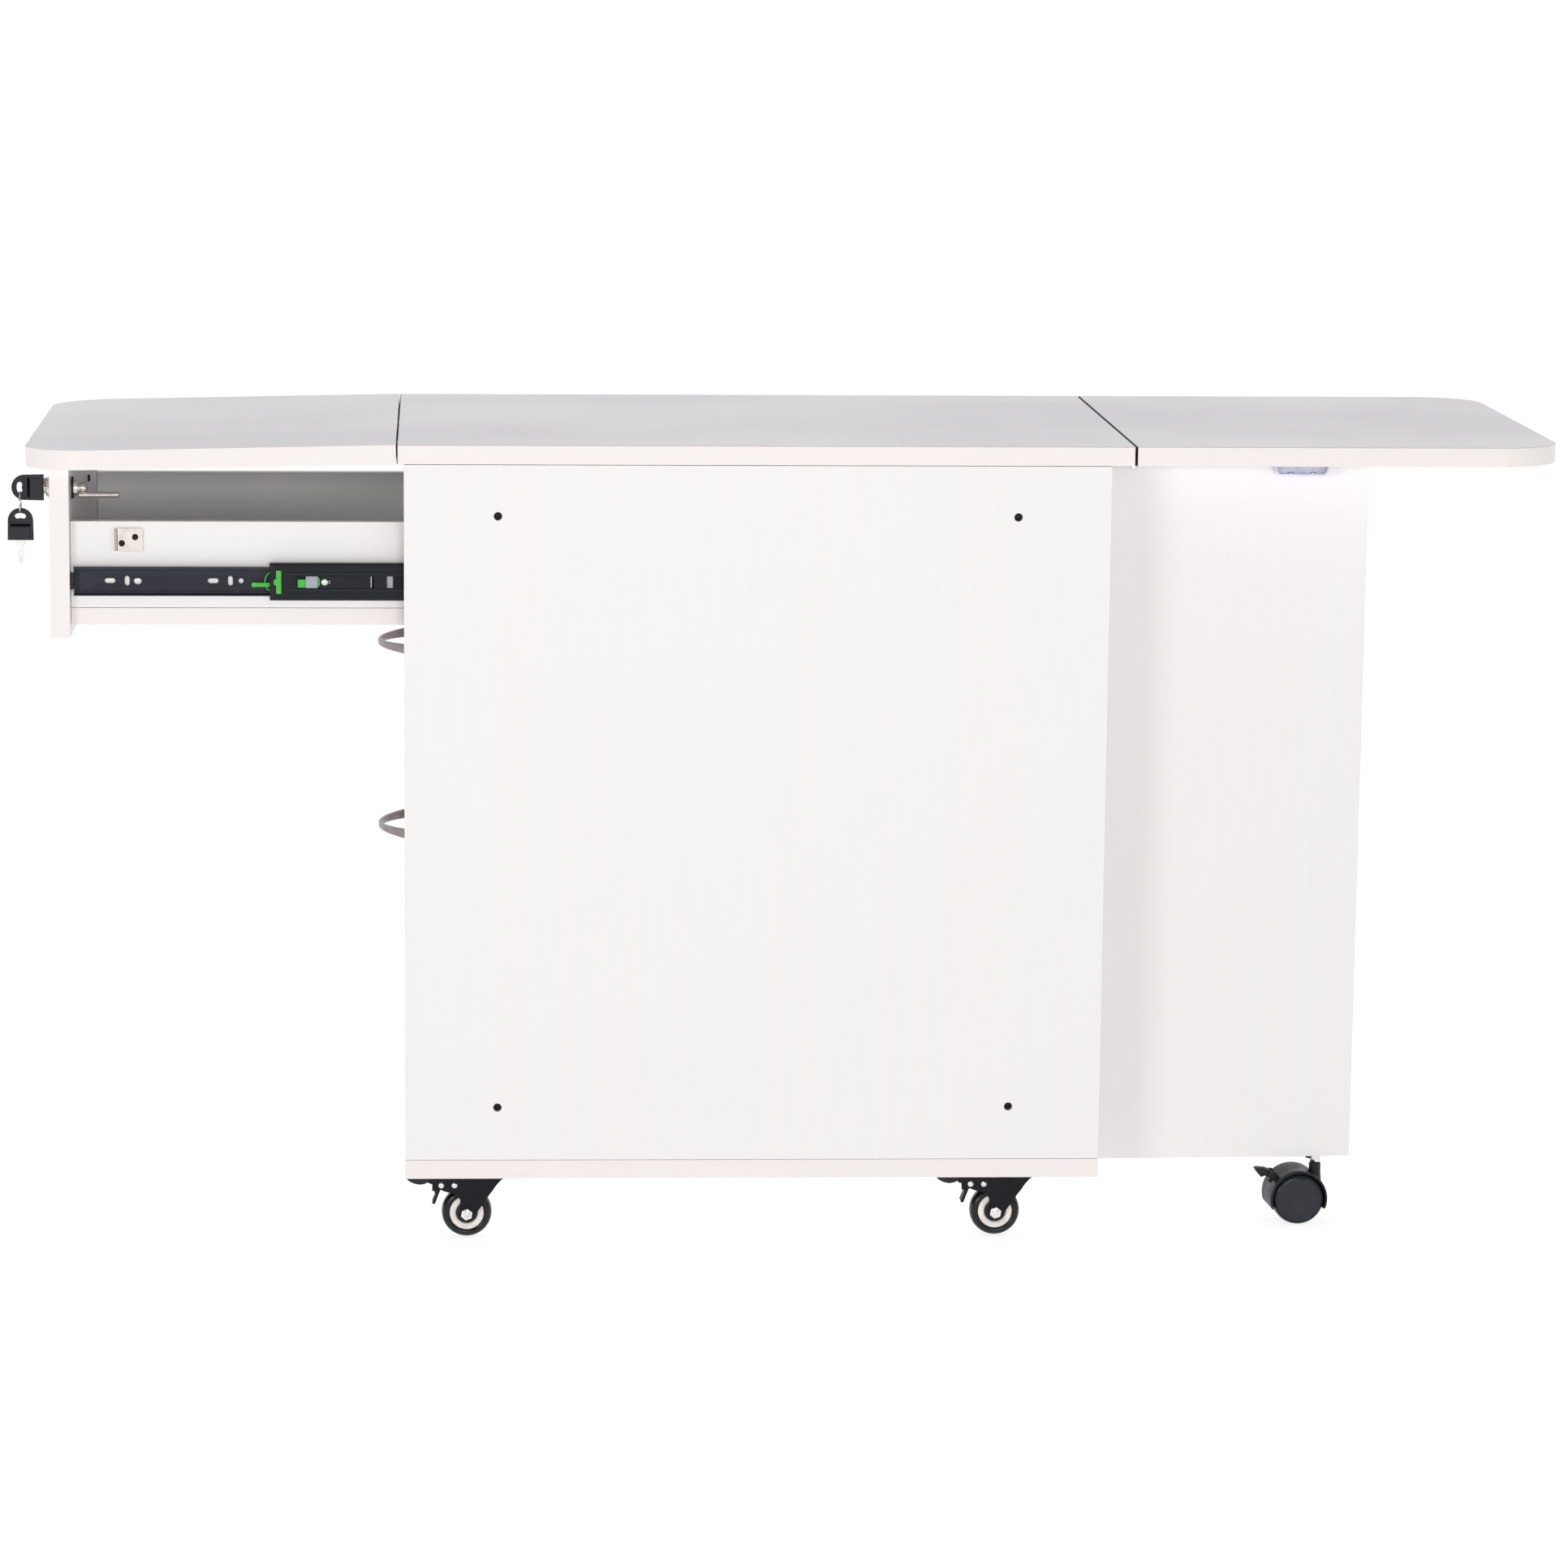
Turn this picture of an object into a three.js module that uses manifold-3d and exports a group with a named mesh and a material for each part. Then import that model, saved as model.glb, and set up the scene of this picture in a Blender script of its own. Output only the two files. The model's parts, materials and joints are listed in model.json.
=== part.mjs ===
// A sewing table on casters: a drawer cabinet with a flip-over leaf that rests on the open top
// drawer, and a drop leaf that rests on a hinged gate with a caster of its own.
// Millimetres, +Z up. X runs along the table from the drawers to the gate, Y from the near side
// panel to the far one. The origin is on the floor, under the middle of the table.
import * as THREE from 'three';
import { mergeVertices } from 'three/addons/utils/BufferGeometryUtils.js';
import Module from 'manifold-3d';

const wasm = await Module();
wasm.setup();

// ---------------------------------------------------------------- driving dimensions

const TABLE_HEIGHT = 762;
const CABINET_LENGTH = 659;
const CABINET_DEPTH = 500;
const BOARD = 18;
const CASTER_HEIGHT = 65;
const GAP = 0.3;
const LENGTH_CENTRE = 357.7;

const TOP_FRONT_OVERHANG = 6.4;
const TOP_REAR_OVERHANG = 21.8;
const FRONT_LEAF_END = -353.1;
const BACK_LEAF_END = 1084.6;
const LEAF_CORNER_RADIUS = 60;
const SEAM_CORNER_RADIUS = 3;
const FRONT_SEAM = 1;
const BACK_SEAM = 1.2;
const FRONT_LEAF_DROOP = THREE.MathUtils.degToRad(1.2);

const SIDE_BOLTS_X = [87.3, 572.2];
const SIDE_BOLTS_Z = [134, 696];
const BOLT_RECESS_RADIUS = 4;
const BOLT_RECESS_DEPTH = 6;

const FRONT_RECESS = 2.5;
const FRONT_SIDE_GAP = 2;
const DRAWER_LENGTH = 350;
const DRAWER_WALL = 12;
const DRAWER_BOTTOM = 16;
const DRAWER_BOTTOM_RISE = 11.5;
const SLIDE_THICKNESS = 12.7;
const TOP_DRAWER_OPENING = 331.3;
const DRAWERS = [
  {
    name: 'top',
    opening: TOP_DRAWER_OPENING,
    low: 578.5,
    high: 736.9,
    wallTop: 687,
    slideZ: 631.5,
    handleZ: 696.6,
  },
  { name: 'middle', opening: 0, low: 397, high: 575, wallTop: 525, slideZ: 450, handleZ: 545.1 },
  { name: 'bottom', opening: 0, low: 86, high: 394, wallTop: 344, slideZ: 139, handleZ: 364.2 },
];

const HANDLE_HALF_SPAN = 64;
const HANDLE_PROJECTION = 29.2;
const HANDLE_HEIGHT = 9.6;
const HANDLE_THICKNESS = 4;

const LOCK_Y = 45;
const LOCK_Z = 717;
const LOCK_BAR_X = 52;

const BACK_HINGE_INSET = 16;
const BACK_HINGE_LENGTH = 54;
const STOP_X = [820, 873];
const STOP_Y = [62, 82];
const STOP_DEPTH = 15;

const GATE_THICKNESS = 18;
const GATE_REACH = 252;
const GATE_TOP = 743.4;
const GATE_PIN_INSET = 1.8;
const GATE_PIN_Y = 95.8;
const GATE_OPEN_ANGLE = THREE.MathUtils.degToRad(2.3);
const GATE_CASTER_STEM = 220.5;
const GATE_CASTER_SWIVEL = THREE.MathUtils.degToRad(1.5);

const CASTERS_X = { front: 76.4, rear: 582.6 };
const CASTERS_Y = { near: 42, far: 458 };

// ---------------------------------------------------------------- finishes

function finish(color, roughness, metalness = 0) {
  return new THREE.MeshStandardMaterial({ color, roughness, metalness });
}

const laminate = finish(0xf1f0ef, 0.45);
const edgedBoard = finish(0xe6e2e0, 0.35);
const taupeMetal = finish(0x8e8385, 0.35, 0.8);
const nickel = finish(0xc9c2b8, 0.28, 0.95);
const blackSteel = finish(0x23242b, 0.45, 0.4);
const blackPlastic = finish(0x26262b, 0.5);
const greenPlastic = finish(0x35b52e, 0.45);
const zincPlate = finish(0xb9bcc4, 0.35, 0.8);
const tyreBlack = finish(0x1d1d20, 0.4);

// ---------------------------------------------------------------- solids

function solidOf(geometry) {
  const bare = geometry.index ? geometry : geometry.clone();
  bare.deleteAttribute('normal');
  bare.deleteAttribute('uv');
  const merged = mergeVertices(bare, 1e-4);
  const vertProperties = new Float32Array(merged.attributes.position.array);
  const triVerts = new Uint32Array(merged.index.array);
  return new wasm.Manifold(new wasm.Mesh({ numProp: 3, vertProperties, triVerts }));
}

function geometryOf(solid) {
  const mesh = solid.getMesh();
  const geometry = new THREE.BufferGeometry();
  geometry.setAttribute('position', new THREE.BufferAttribute(mesh.vertProperties, 3));
  geometry.setIndex(new THREE.BufferAttribute(mesh.triVerts, 1));
  const flat = geometry.toNonIndexed();
  flat.computeVertexNormals();
  return flat;
}

function block(x0, x1, y0, y1, z0, z1) {
  const box = new THREE.BoxGeometry(x1 - x0, y1 - y0, z1 - z0);
  box.translate((x0 + x1) / 2, (y0 + y1) / 2, (z0 + z1) / 2);
  return solidOf(box);
}

// A cylinder, or a cone where the radii differ, between two points.
function rod(start, end, startRadius, endRadius = startRadius, sides = 24) {
  const from = new THREE.Vector3(...start);
  const along = new THREE.Vector3(...end).sub(from);
  const length = along.length();
  const shape = new THREE.CylinderGeometry(endRadius, startRadius, length, sides);
  shape.translate(0, length / 2, 0);
  const up = new THREE.Vector3(0, 1, 0);
  shape.applyQuaternion(new THREE.Quaternion().setFromUnitVectors(up, along.normalize()));
  shape.translate(from.x, from.y, from.z);
  return solidOf(shape);
}

function extruded(shape, depth, curveSegments) {
  return new THREE.ExtrudeGeometry(shape, { depth, bevelEnabled: false, curveSegments });
}

// An outline drawn in X and Z, given a thickness from y0 to y1.
function slabXZ(shape, y0, y1, curveSegments = 8) {
  const geometry = extruded(shape, y1 - y0, curveSegments);
  geometry.rotateX(Math.PI / 2);
  geometry.translate(0, y1, 0);
  return solidOf(geometry);
}

// An outline drawn in X and Y, given a thickness from z0 to z1.
function slabXY(shape, z0, z1, curveSegments = 8) {
  const geometry = extruded(shape, z1 - z0, curveSegments);
  geometry.translate(0, 0, z0);
  return solidOf(geometry);
}

// A rectangle with its four corner radii, from the low corner counter-clockwise.
function roundedRectangle(x0, x1, y0, y1, radii) {
  const [lowLeft, lowRight, highRight, highLeft] = radii;
  const shape = new THREE.Shape();
  shape.moveTo(x0 + lowLeft, y0);
  shape.lineTo(x1 - lowRight, y0);
  if (lowRight) shape.absarc(x1 - lowRight, y0 + lowRight, lowRight, -Math.PI / 2, 0);
  shape.lineTo(x1, y1 - highRight);
  if (highRight) shape.absarc(x1 - highRight, y1 - highRight, highRight, 0, Math.PI / 2);
  shape.lineTo(x0 + highLeft, y1);
  if (highLeft) shape.absarc(x0 + highLeft, y1 - highLeft, highLeft, Math.PI / 2, Math.PI);
  shape.lineTo(x0, y0 + lowLeft);
  if (lowLeft) shape.absarc(x0 + lowLeft, y0 + lowLeft, lowLeft, Math.PI, Math.PI * 1.5);
  return shape;
}

// A slot with round ends, cut along Y.
function slotAlongY(x, z, width, height, y0, y1) {
  const radii = Array(4).fill(Math.min(width, height) / 2);
  const [x0, x1] = [x - width / 2, x + width / 2];
  const outline = roundedRectangle(x0, x1, z - height / 2, z + height / 2, radii);
  return slabXZ(outline, y0, y1, 1);
}

function join(...solids) {
  return solids.reduce((whole, next) => whole.add(next));
}

function piece(parent, name, solid, material) {
  const mesh = new THREE.Mesh(geometryOf(solid), material);
  mesh.name = name;
  parent.add(mesh);
  return mesh;
}

function groupAt(parent, x, y, z) {
  const group = new THREE.Group();
  group.position.set(x, y, z);
  parent.add(group);
  return group;
}

const group = new THREE.Group();
const table = groupAt(group, -LENGTH_CENTRE, -CABINET_DEPTH / 2, 0);

// ---------------------------------------------------------------- cabinet

const topUnderside = TABLE_HEIGHT - BOARD;
const baseTop = CASTER_HEIGHT + BOARD;
const panelLow = baseTop + GAP;
const panelHigh = topUnderside - GAP;
const farInner = CABINET_DEPTH - BOARD;

function sidePanel(outerY, innerY) {
  const [y0, y1] = [Math.min(outerY, innerY), Math.max(outerY, innerY)];
  let panel = block(0, CABINET_LENGTH, y0, y1, panelLow, panelHigh);
  const inward = Math.sign(innerY - outerY);
  for (const x of SIDE_BOLTS_X) {
    for (const z of SIDE_BOLTS_Z) {
      const mouth = [x, outerY - inward, z];
      const floor = [x, outerY + inward * BOLT_RECESS_DEPTH, z];
      panel = panel.subtract(rod(mouth, floor, BOLT_RECESS_RADIUS, BOLT_RECESS_RADIUS, 16));
    }
  }
  return panel;
}

const lockBarLow = 100;
const lockBarHigh = 724;
const lockBarHalfWidth = 7;
const lockBarTravel = 12;
const lockGrooveDepth = 8;
const lockGroove = block(
  LOCK_BAR_X - lockBarHalfWidth - GAP,
  LOCK_BAR_X + lockBarHalfWidth + GAP,
  BOARD - lockGrooveDepth,
  BOARD + 1,
  lockBarLow - 1,
  lockBarHigh + lockBarTravel + 1,
);

piece(table, 'base_panel', block(0, CABINET_LENGTH, 0, CABINET_DEPTH, CASTER_HEIGHT, baseTop), edgedBoard);
piece(table, 'near_side_panel', sidePanel(0, BOARD).subtract(lockGroove), laminate);
piece(table, 'far_side_panel', sidePanel(CABINET_DEPTH, farInner), laminate);
piece(
  table,
  'rear_panel',
  block(CABINET_LENGTH - BOARD, CABINET_LENGTH, BOARD + GAP, farInner - GAP, panelLow, panelHigh),
  laminate,
);

// The bar slides up in its groove when the lock turns, and its studs hold the drawers shut.
const studHeight = 4;
const studHalfWidth = 4;
const studReach = 24;
const studRise = 24;
let lockBar = block(
  LOCK_BAR_X - lockBarHalfWidth,
  LOCK_BAR_X + lockBarHalfWidth,
  BOARD - lockGrooveDepth + GAP,
  BOARD - GAP,
  lockBarLow,
  lockBarHigh,
);
for (const drawer of DRAWERS) {
  const studLow = drawer.slideZ + studRise;
  const studX = [LOCK_BAR_X - studHalfWidth, LOCK_BAR_X + studHalfWidth];
  lockBar = lockBar.add(block(...studX, BOARD - 1, studReach, studLow, studLow + studHeight));
}
piece(table, 'lock_bar', lockBar, nickel);

// ---------------------------------------------------------------- top and leaves

const topStart = -TOP_FRONT_OVERHANG;
const topEnd = CABINET_LENGTH + TOP_REAR_OVERHANG;
piece(
  table,
  'top_panel',
  slabXY(
    roundedRectangle(topStart, topEnd, 0, CABINET_DEPTH, [0, 0, 0, SEAM_CORNER_RADIUS]),
    topUnderside,
    TABLE_HEIGHT,
    4,
  ),
  edgedBoard,
);

// The flip-over leaf turns on a line just above the seam, and droops a little onto the drawer.
const frontHingeX = topStart - FRONT_SEAM / 2;
const frontHingeZ = TABLE_HEIGHT + GAP;
const frontLeaf = groupAt(table, frontHingeX, 0, frontHingeZ);
frontLeaf.rotation.y = -FRONT_LEAF_DROOP;
piece(
  frontLeaf,
  'front_leaf',
  slabXY(
    roundedRectangle(FRONT_LEAF_END - frontHingeX, -FRONT_SEAM / 2, 0, CABINET_DEPTH, [
      LEAF_CORNER_RADIUS,
      0,
      SEAM_CORNER_RADIUS,
      LEAF_CORNER_RADIUS,
    ]),
    -GAP - BOARD,
    -GAP,
    12,
  ),
  edgedBoard,
);

const backLeafStart = topEnd + BACK_SEAM;
const backLeafCorners = [0, LEAF_CORNER_RADIUS, LEAF_CORNER_RADIUS, 0];
piece(
  table,
  'back_leaf',
  slabXY(
    roundedRectangle(backLeafStart, BACK_LEAF_END, 0, CABINET_DEPTH, backLeafCorners),
    topUnderside,
    TABLE_HEIGHT,
    12,
  ),
  edgedBoard,
);

// The drop leaf hangs on two butt hinges under the seam, clear of the gate's swing.
const seamX = topEnd + BACK_SEAM / 2;
const buttPlateHalf = 20;
const buttPlate = 1.2;
const buttKnuckle = 2.5;
function buttHinge(y0, y1) {
  const plateTop = topUnderside - GAP;
  const axis = plateTop - buttKnuckle;
  return join(
    block(seamX - buttPlateHalf, seamX + buttPlateHalf, y0, y1, plateTop - buttPlate, plateTop),
    rod([seamX, y0, axis], [seamX, y1, axis], buttKnuckle, buttKnuckle, 16),
  );
}
const nearHinge = [BACK_HINGE_INSET, BACK_HINGE_INSET + BACK_HINGE_LENGTH];
piece(table, 'back_leaf_hinge_near', buttHinge(...nearHinge), zincPlate);
const farHinge = nearHinge.map((y) => CABINET_DEPTH - y).reverse();
piece(table, 'back_leaf_hinge_far', buttHinge(...farHinge), zincPlate);

// The stop under the drop leaf: a strap bent into a trough, that the gate swings against.
function troughOutline(inset) {
  const [x0, x1] = [STOP_X[0] + inset, STOP_X[1] - inset];
  const top = topUnderside - GAP;
  const low = top - STOP_DEPTH + inset;
  const bend = 8 - inset;
  const outline = new THREE.Shape();
  outline.moveTo(x0, top);
  outline.lineTo(x0, low + bend);
  outline.quadraticCurveTo(x0, low, x0 + bend, low);
  outline.lineTo(x1 - bend, low);
  outline.quadraticCurveTo(x1, low, x1, low + bend);
  outline.lineTo(x1, top);
  return outline;
}
const stopWall = 1.8;
const stopSolid = slabXZ(troughOutline(0), ...STOP_Y);
const stopHollow = slabXZ(troughOutline(stopWall), STOP_Y[0] - 1, STOP_Y[1] + 1);
const mouthTop = topUnderside + 1;
const stopMouth = block(
  STOP_X[0] + stopWall,
  STOP_X[1] - stopWall,
  STOP_Y[0] - 1,
  STOP_Y[1] + 1,
  topUnderside - 2,
  mouthTop,
);
piece(table, 'gate_stop', stopSolid.subtract(stopHollow).subtract(stopMouth), zincPlate);

// ---------------------------------------------------------------- gate

const gatePinX = CABINET_LENGTH + GATE_PIN_INSET;
const hingeLow = 80;
const knuckles = 11;
const knucklePitch = 58;
const knuckleRadius = 1.6;
const hingeLeafWidth = 20;
const hingeLeafStart = 2;
const hingeLeaf = 0.8;
const hingePin = 0.85;
const hingeBore = 1.15;

// One half of the gate's long hinge, in its own frame: the pin on Z, the leaf along +X, and the
// leaf's outer face at y = -knuckleRadius. The halves hold the odd and the even knuckles.
function hingeHalf(firstKnuckle, bored) {
  const high = hingeLow + knuckles * knucklePitch;
  const leafY = [-knuckleRadius, hingeLeaf - knuckleRadius];
  let half = block(hingeLeafStart, hingeLeafWidth, ...leafY, hingeLow, high);
  for (let i = firstKnuckle; i < knuckles; i += 2) {
    const low = hingeLow + i * knucklePitch + GAP / 2;
    const top = low + knucklePitch - GAP;
    half = join(
      half,
      block(0, hingeLeafStart + 1, ...leafY, low, top),
      rod([0, 0, low], [0, 0, top], knuckleRadius, knuckleRadius, 10),
    );
  }
  const radius = bored ? hingeBore : hingePin;
  const pin = rod([0, 0, hingeLow], [0, 0, high], radius, radius, 10);
  return bored ? half.subtract(pin) : half.add(pin);
}

const fixedHalf = groupAt(table, gatePinX, GATE_PIN_Y, 0);
fixedHalf.rotation.z = Math.PI / 2;
fixedHalf.scale.y = -1;
piece(fixedHalf, 'gate_hinge_fixed', hingeHalf(0, false), zincPlate);

const gate = groupAt(table, gatePinX, GATE_PIN_Y, 0);
gate.rotation.z = GATE_OPEN_ANGLE;
const gateFarFace = -GATE_PIN_INSET - GAP / 2;
const gateMiddle = gateFarFace - GATE_THICKNESS / 2;
const gateStart = -GATE_PIN_INSET + 2 * GAP;
const gateY = [gateFarFace - GATE_THICKNESS, gateFarFace];
const gatePanel = block(gateStart, GATE_REACH, ...gateY, CASTER_HEIGHT, GATE_TOP);
piece(gate, 'gate_panel', gatePanel, laminate);
piece(gate, 'gate_hinge_moving', hingeHalf(1, true), zincPlate);

// ---------------------------------------------------------------- drawers

const frontOuter = FRONT_RECESS;
const frontInner = FRONT_RECESS + BOARD;
const boxStart = frontInner + GAP;
const boxEnd = boxStart + DRAWER_LENGTH;
const wallNear = BOARD + SLIDE_THICKNESS + GAP;
const wallFar = CABINET_DEPTH - wallNear;

// The far half of the cabinet mirrors the near half, so a span of Y is given on the near side.
function mirroredSpan(isFar, y0, y1) {
  return isFar ? [CABINET_DEPTH - y1, CABINET_DEPTH - y0] : [y0, y1];
}

// A channel of a ball-bearing slide: a web and two flanges of thin sheet.
const sheet = 1.2;
function channel(isFar, [x0, x1], z, halfHeight, webY, [flangeY0, flangeY1]) {
  const web = mirroredSpan(isFar, webY, webY + sheet);
  const flange = mirroredSpan(isFar, flangeY0, flangeY1);
  return join(
    block(x0, x1, ...web, z - halfHeight, z + halfHeight),
    block(x0, x1, ...flange, z + halfHeight - sheet, z + halfHeight),
    block(x0, x1, ...flange, z - halfHeight, z - halfHeight + sheet),
  );
}

const outerX = [22, 22 + DRAWER_LENGTH];
const midX = [40.6, 40.6 + DRAWER_LENGTH - 20];
const innerX = [23.9, 23.9 + DRAWER_LENGTH - 5];
const outerHalfHeight = 22.5;
const midHalfHeight = 17.5;
const innerHalfHeight = 13.5;
const outerWebY = BOARD + GAP;
const midWebY = 21;
const innerWebY = wallNear - GAP - sheet;
const outerFlangeEnd = 29;
const midFlangeEnd = 28.6;
const innerFlangeStart = 23.2;
const sides = ['near', 'far'];

function outerMember(isFar, z) {
  return channel(isFar, outerX, z, outerHalfHeight, outerWebY, [outerWebY, outerFlangeEnd]);
}

function midMember(isFar, z) {
  return channel(isFar, midX, z, midHalfHeight, midWebY, [midWebY, midFlangeEnd]);
}

function innerMember(isFar, z) {
  const flange = [innerFlangeStart, innerWebY + sheet];
  return channel(isFar, innerX, z, innerHalfHeight, innerWebY, flange);
}

// The drawer member's mounting holes: a level slot, an upright slot and a round hole, repeated.
const holeSets = [33.4, 129.4, 225.4];
const uprightSlotStep = 16;
const roundHoleStep = 25.9;
function innerMemberHoles(isFar, z) {
  const [y0, y1] = mirroredSpan(isFar, innerWebY - 1, innerWebY + 1.5);
  const holes = [];
  for (const start of holeSets) {
    const x = innerX[0] + start;
    holes.push(slotAlongY(x, z, 10, 4.6, y0, y1));
    holes.push(slotAlongY(x + uprightSlotStep, z, 4.6, 9, y0, y1));
    holes.push(slotAlongY(x + roundHoleStep, z, 4.8, 4.8, y0, y1));
  }
  return join(...holes);
}

// The middle member's window for the catch, and two upright slots.
const windowX = [25, 47.5];
const windowHalfHeight = 5;
const midSlots = [[94, 97], [109, 115]];
const midSlotHalfHeight = 5.5;
function midMemberHoles(isFar, z) {
  const y = mirroredSpan(isFar, midWebY - 1, midWebY + 1.5);
  const opening = ([x0, x1], half) => block(midX[0] + x0, midX[0] + x1, ...y, z - half, z + half);
  return join(
    opening(windowX, windowHalfHeight),
    ...midSlots.map((slot) => opening(slot, midSlotHalfHeight)),
  );
}

// A bow pull: a strap bent to a parabola, with a foot turned inwards at each end.
function bowHandle(z) {
  const centre = CABINET_DEPTH / 2;
  const steps = 16;
  const outline = new THREE.Shape();
  const offset = (t, inset) => {
    const span = HANDLE_HALF_SPAN - inset;
    const reach = HANDLE_PROJECTION - inset;
    return [-reach * (1 - t * t), span * t];
  };
  const points = [];
  for (let i = 0; i <= steps; i++) points.push(offset(-1 + (2 * i) / steps, 0));
  for (let i = steps; i >= 0; i--) points.push(offset(-1 + (2 * i) / steps, HANDLE_THICKNESS));
  const face = frontOuter - GAP;
  points.forEach(([x, y], i) => {
    const place = [face + x, centre + y];
    if (i) outline.lineTo(...place);
    else outline.moveTo(...place);
  });
  const low = z - HANDLE_HEIGHT / 2;
  const high = z + HANDLE_HEIGHT / 2;
  const footInner = HANDLE_HALF_SPAN - HANDLE_THICKNESS - 5;
  const footOuter = HANDLE_HALF_SPAN - 1;
  const foot = 2;
  return join(
    slabXY(outline, low, high),
    block(face - foot, face, centre + footInner, centre + footOuter, low, high),
    block(face - foot, face, centre - footOuter, centre - footInner, low, high),
  );
}

const barrelRadius = 8;

// A round solid on the lock's axis, between two places along X.
function lockRod(x0, x1, startRadius, endRadius = startRadius) {
  return rod([x0, LOCK_Y, LOCK_Z], [x1, LOCK_Y, LOCK_Z], startRadius, endRadius);
}

function drawerFront(drawer) {
  const front = block(
    frontOuter,
    frontInner,
    BOARD + FRONT_SIDE_GAP,
    farInner - FRONT_SIDE_GAP,
    drawer.low,
    drawer.high,
  );
  if (drawer.name !== 'top') return front;
  return front.subtract(lockRod(frontOuter - 1, frontInner + 1, barrelRadius + GAP));
}

function drawerBox(drawer) {
  const low = drawer.low + DRAWER_BOTTOM_RISE;
  const wallLow = low + DRAWER_BOTTOM;
  const wallZ = [wallLow + GAP, drawer.wallTop];
  return {
    bottom: block(boxStart, boxEnd, wallNear, wallFar, low, wallLow),
    near_wall: block(boxStart, boxEnd, wallNear, wallNear + DRAWER_WALL, ...wallZ),
    far_wall: block(boxStart, boxEnd, wallFar - DRAWER_WALL, wallFar, ...wallZ),
    back: block(
      boxEnd - DRAWER_WALL,
      boxEnd,
      wallNear + DRAWER_WALL + GAP,
      wallFar - DRAWER_WALL - GAP,
      ...wallZ,
    ),
  };
}

// The box of a lower drawer and its slide members, joined into one piece.
function joinedBox(drawer) {
  const low = drawer.low + DRAWER_BOTTOM_RISE;
  const outside = block(boxStart, boxEnd, wallNear, wallFar, low, drawer.wallTop);
  const hollow = block(
    boxStart - 1,
    boxEnd - DRAWER_WALL,
    wallNear + DRAWER_WALL,
    wallFar - DRAWER_WALL,
    low + DRAWER_BOTTOM,
    drawer.wallTop + 1,
  );
  const tie = (isFar) => {
    const [y0, y1] = mirroredSpan(isFar, innerWebY + 0.5, wallNear + 0.5);
    const [x0, x1] = [innerX[0] + 30, innerX[0] + 60];
    return block(x0, x1, y0, y1, drawer.slideZ - 3, drawer.slideZ + 3);
  };
  return join(
    outside.subtract(hollow),
    innerMember(false, drawer.slideZ),
    innerMember(true, drawer.slideZ),
    tie(false),
    tie(true),
  );
}

const topDrawer = groupAt(table, -TOP_DRAWER_OPENING, 0, 0);
for (const drawer of DRAWERS) {
  const { name, slideZ, opening } = drawer;
  const body = name === 'top' ? topDrawer : table;
  const runners = groupAt(table, -opening / 2, 0, 0);
  piece(body, `${name}_drawer_front`, drawerFront(drawer), edgedBoard);
  piece(body, `${name}_drawer_handle`, bowHandle(drawer.handleZ), taupeMetal);
  if (name === 'top') {
    for (const [part, solid] of Object.entries(drawerBox(drawer))) {
      piece(body, `${name}_drawer_${part}`, solid, laminate);
    }
  } else {
    piece(body, `${name}_drawer_box`, joinedBox(drawer), laminate);
  }
  for (const side of sides) {
    const isFar = side === 'far';
    piece(table, `${name}_slide_outer_${side}`, outerMember(isFar, slideZ), blackSteel);
    const middle = midMember(isFar, slideZ).subtract(midMemberHoles(isFar, slideZ));
    piece(runners, `${name}_slide_middle_${side}`, middle, blackSteel);
    if (name === 'top') {
      const inner = innerMember(isFar, slideZ).subtract(innerMemberHoles(isFar, slideZ));
      piece(body, `${name}_slide_inner_${side}`, inner, blackSteel);
    }
  }
}

// ---------------------------------------------------------------- slide release levers

// A flat lever in the drawer member: a tail that reaches out past the middle member, a bowed
// spring frame, and a pivot.
const leverPivotX = innerX[0] + 195;
const leverTailReach = 30;
const leverTailHalfHeight = 2;
const leverFrame = { x0: leverPivotX - 16.5, x1: leverPivotX - 8, halfHeight: 8.5 };
const leverBossStart = 26;
function releaseLever(isFar, z) {
  const [y0, y1] = mirroredSpan(isFar, 24.2, 26.7);
  const [bossY0, bossY1] = mirroredSpan(isFar, leverBossStart, innerWebY - GAP);
  const { x0, x1, halfHeight } = leverFrame;
  const tail = roundedRectangle(
    leverPivotX - leverTailReach,
    leverPivotX,
    z - leverTailHalfHeight,
    z + leverTailHalfHeight,
    [2, 0, 0, 2],
  );
  return join(
    slabXZ(tail, y0, y1, 4),
    block(x0, x1, y0, y1, z - halfHeight, z + halfHeight),
    rod([leverPivotX, y0, z], [leverPivotX, y1, z], 5, 5, 16),
    rod([leverPivotX, bossY0, z], [leverPivotX, bossY1, z], 3, 3, 16),
  );
}
for (const side of sides) {
  const lever = releaseLever(side === 'far', DRAWERS[0].slideZ);
  piece(topDrawer, `release_lever_${side}`, lever, greenPlastic);
}

// ---------------------------------------------------------------- lock and keys

const noseStart = -3.7;
const noseRadius = 8.6;
const flangeRadius = 10.5;
const coreRadius = 5;
const nutThickness = 4;
const lockNutRadius = 11.2;
const lockCylinder = join(
  lockRod(noseStart, frontOuter - GAP, noseRadius, flangeRadius),
  lockRod(noseStart + 1, frontInner + nutThickness + 3, barrelRadius),
  lockRod(frontInner + GAP, frontInner + nutThickness, lockNutRadius),
).subtract(lockRod(noseStart - 1, frontInner + 20, coreRadius + GAP));
piece(topDrawer, 'lock_cylinder', lockCylinder, nickel);

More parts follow.
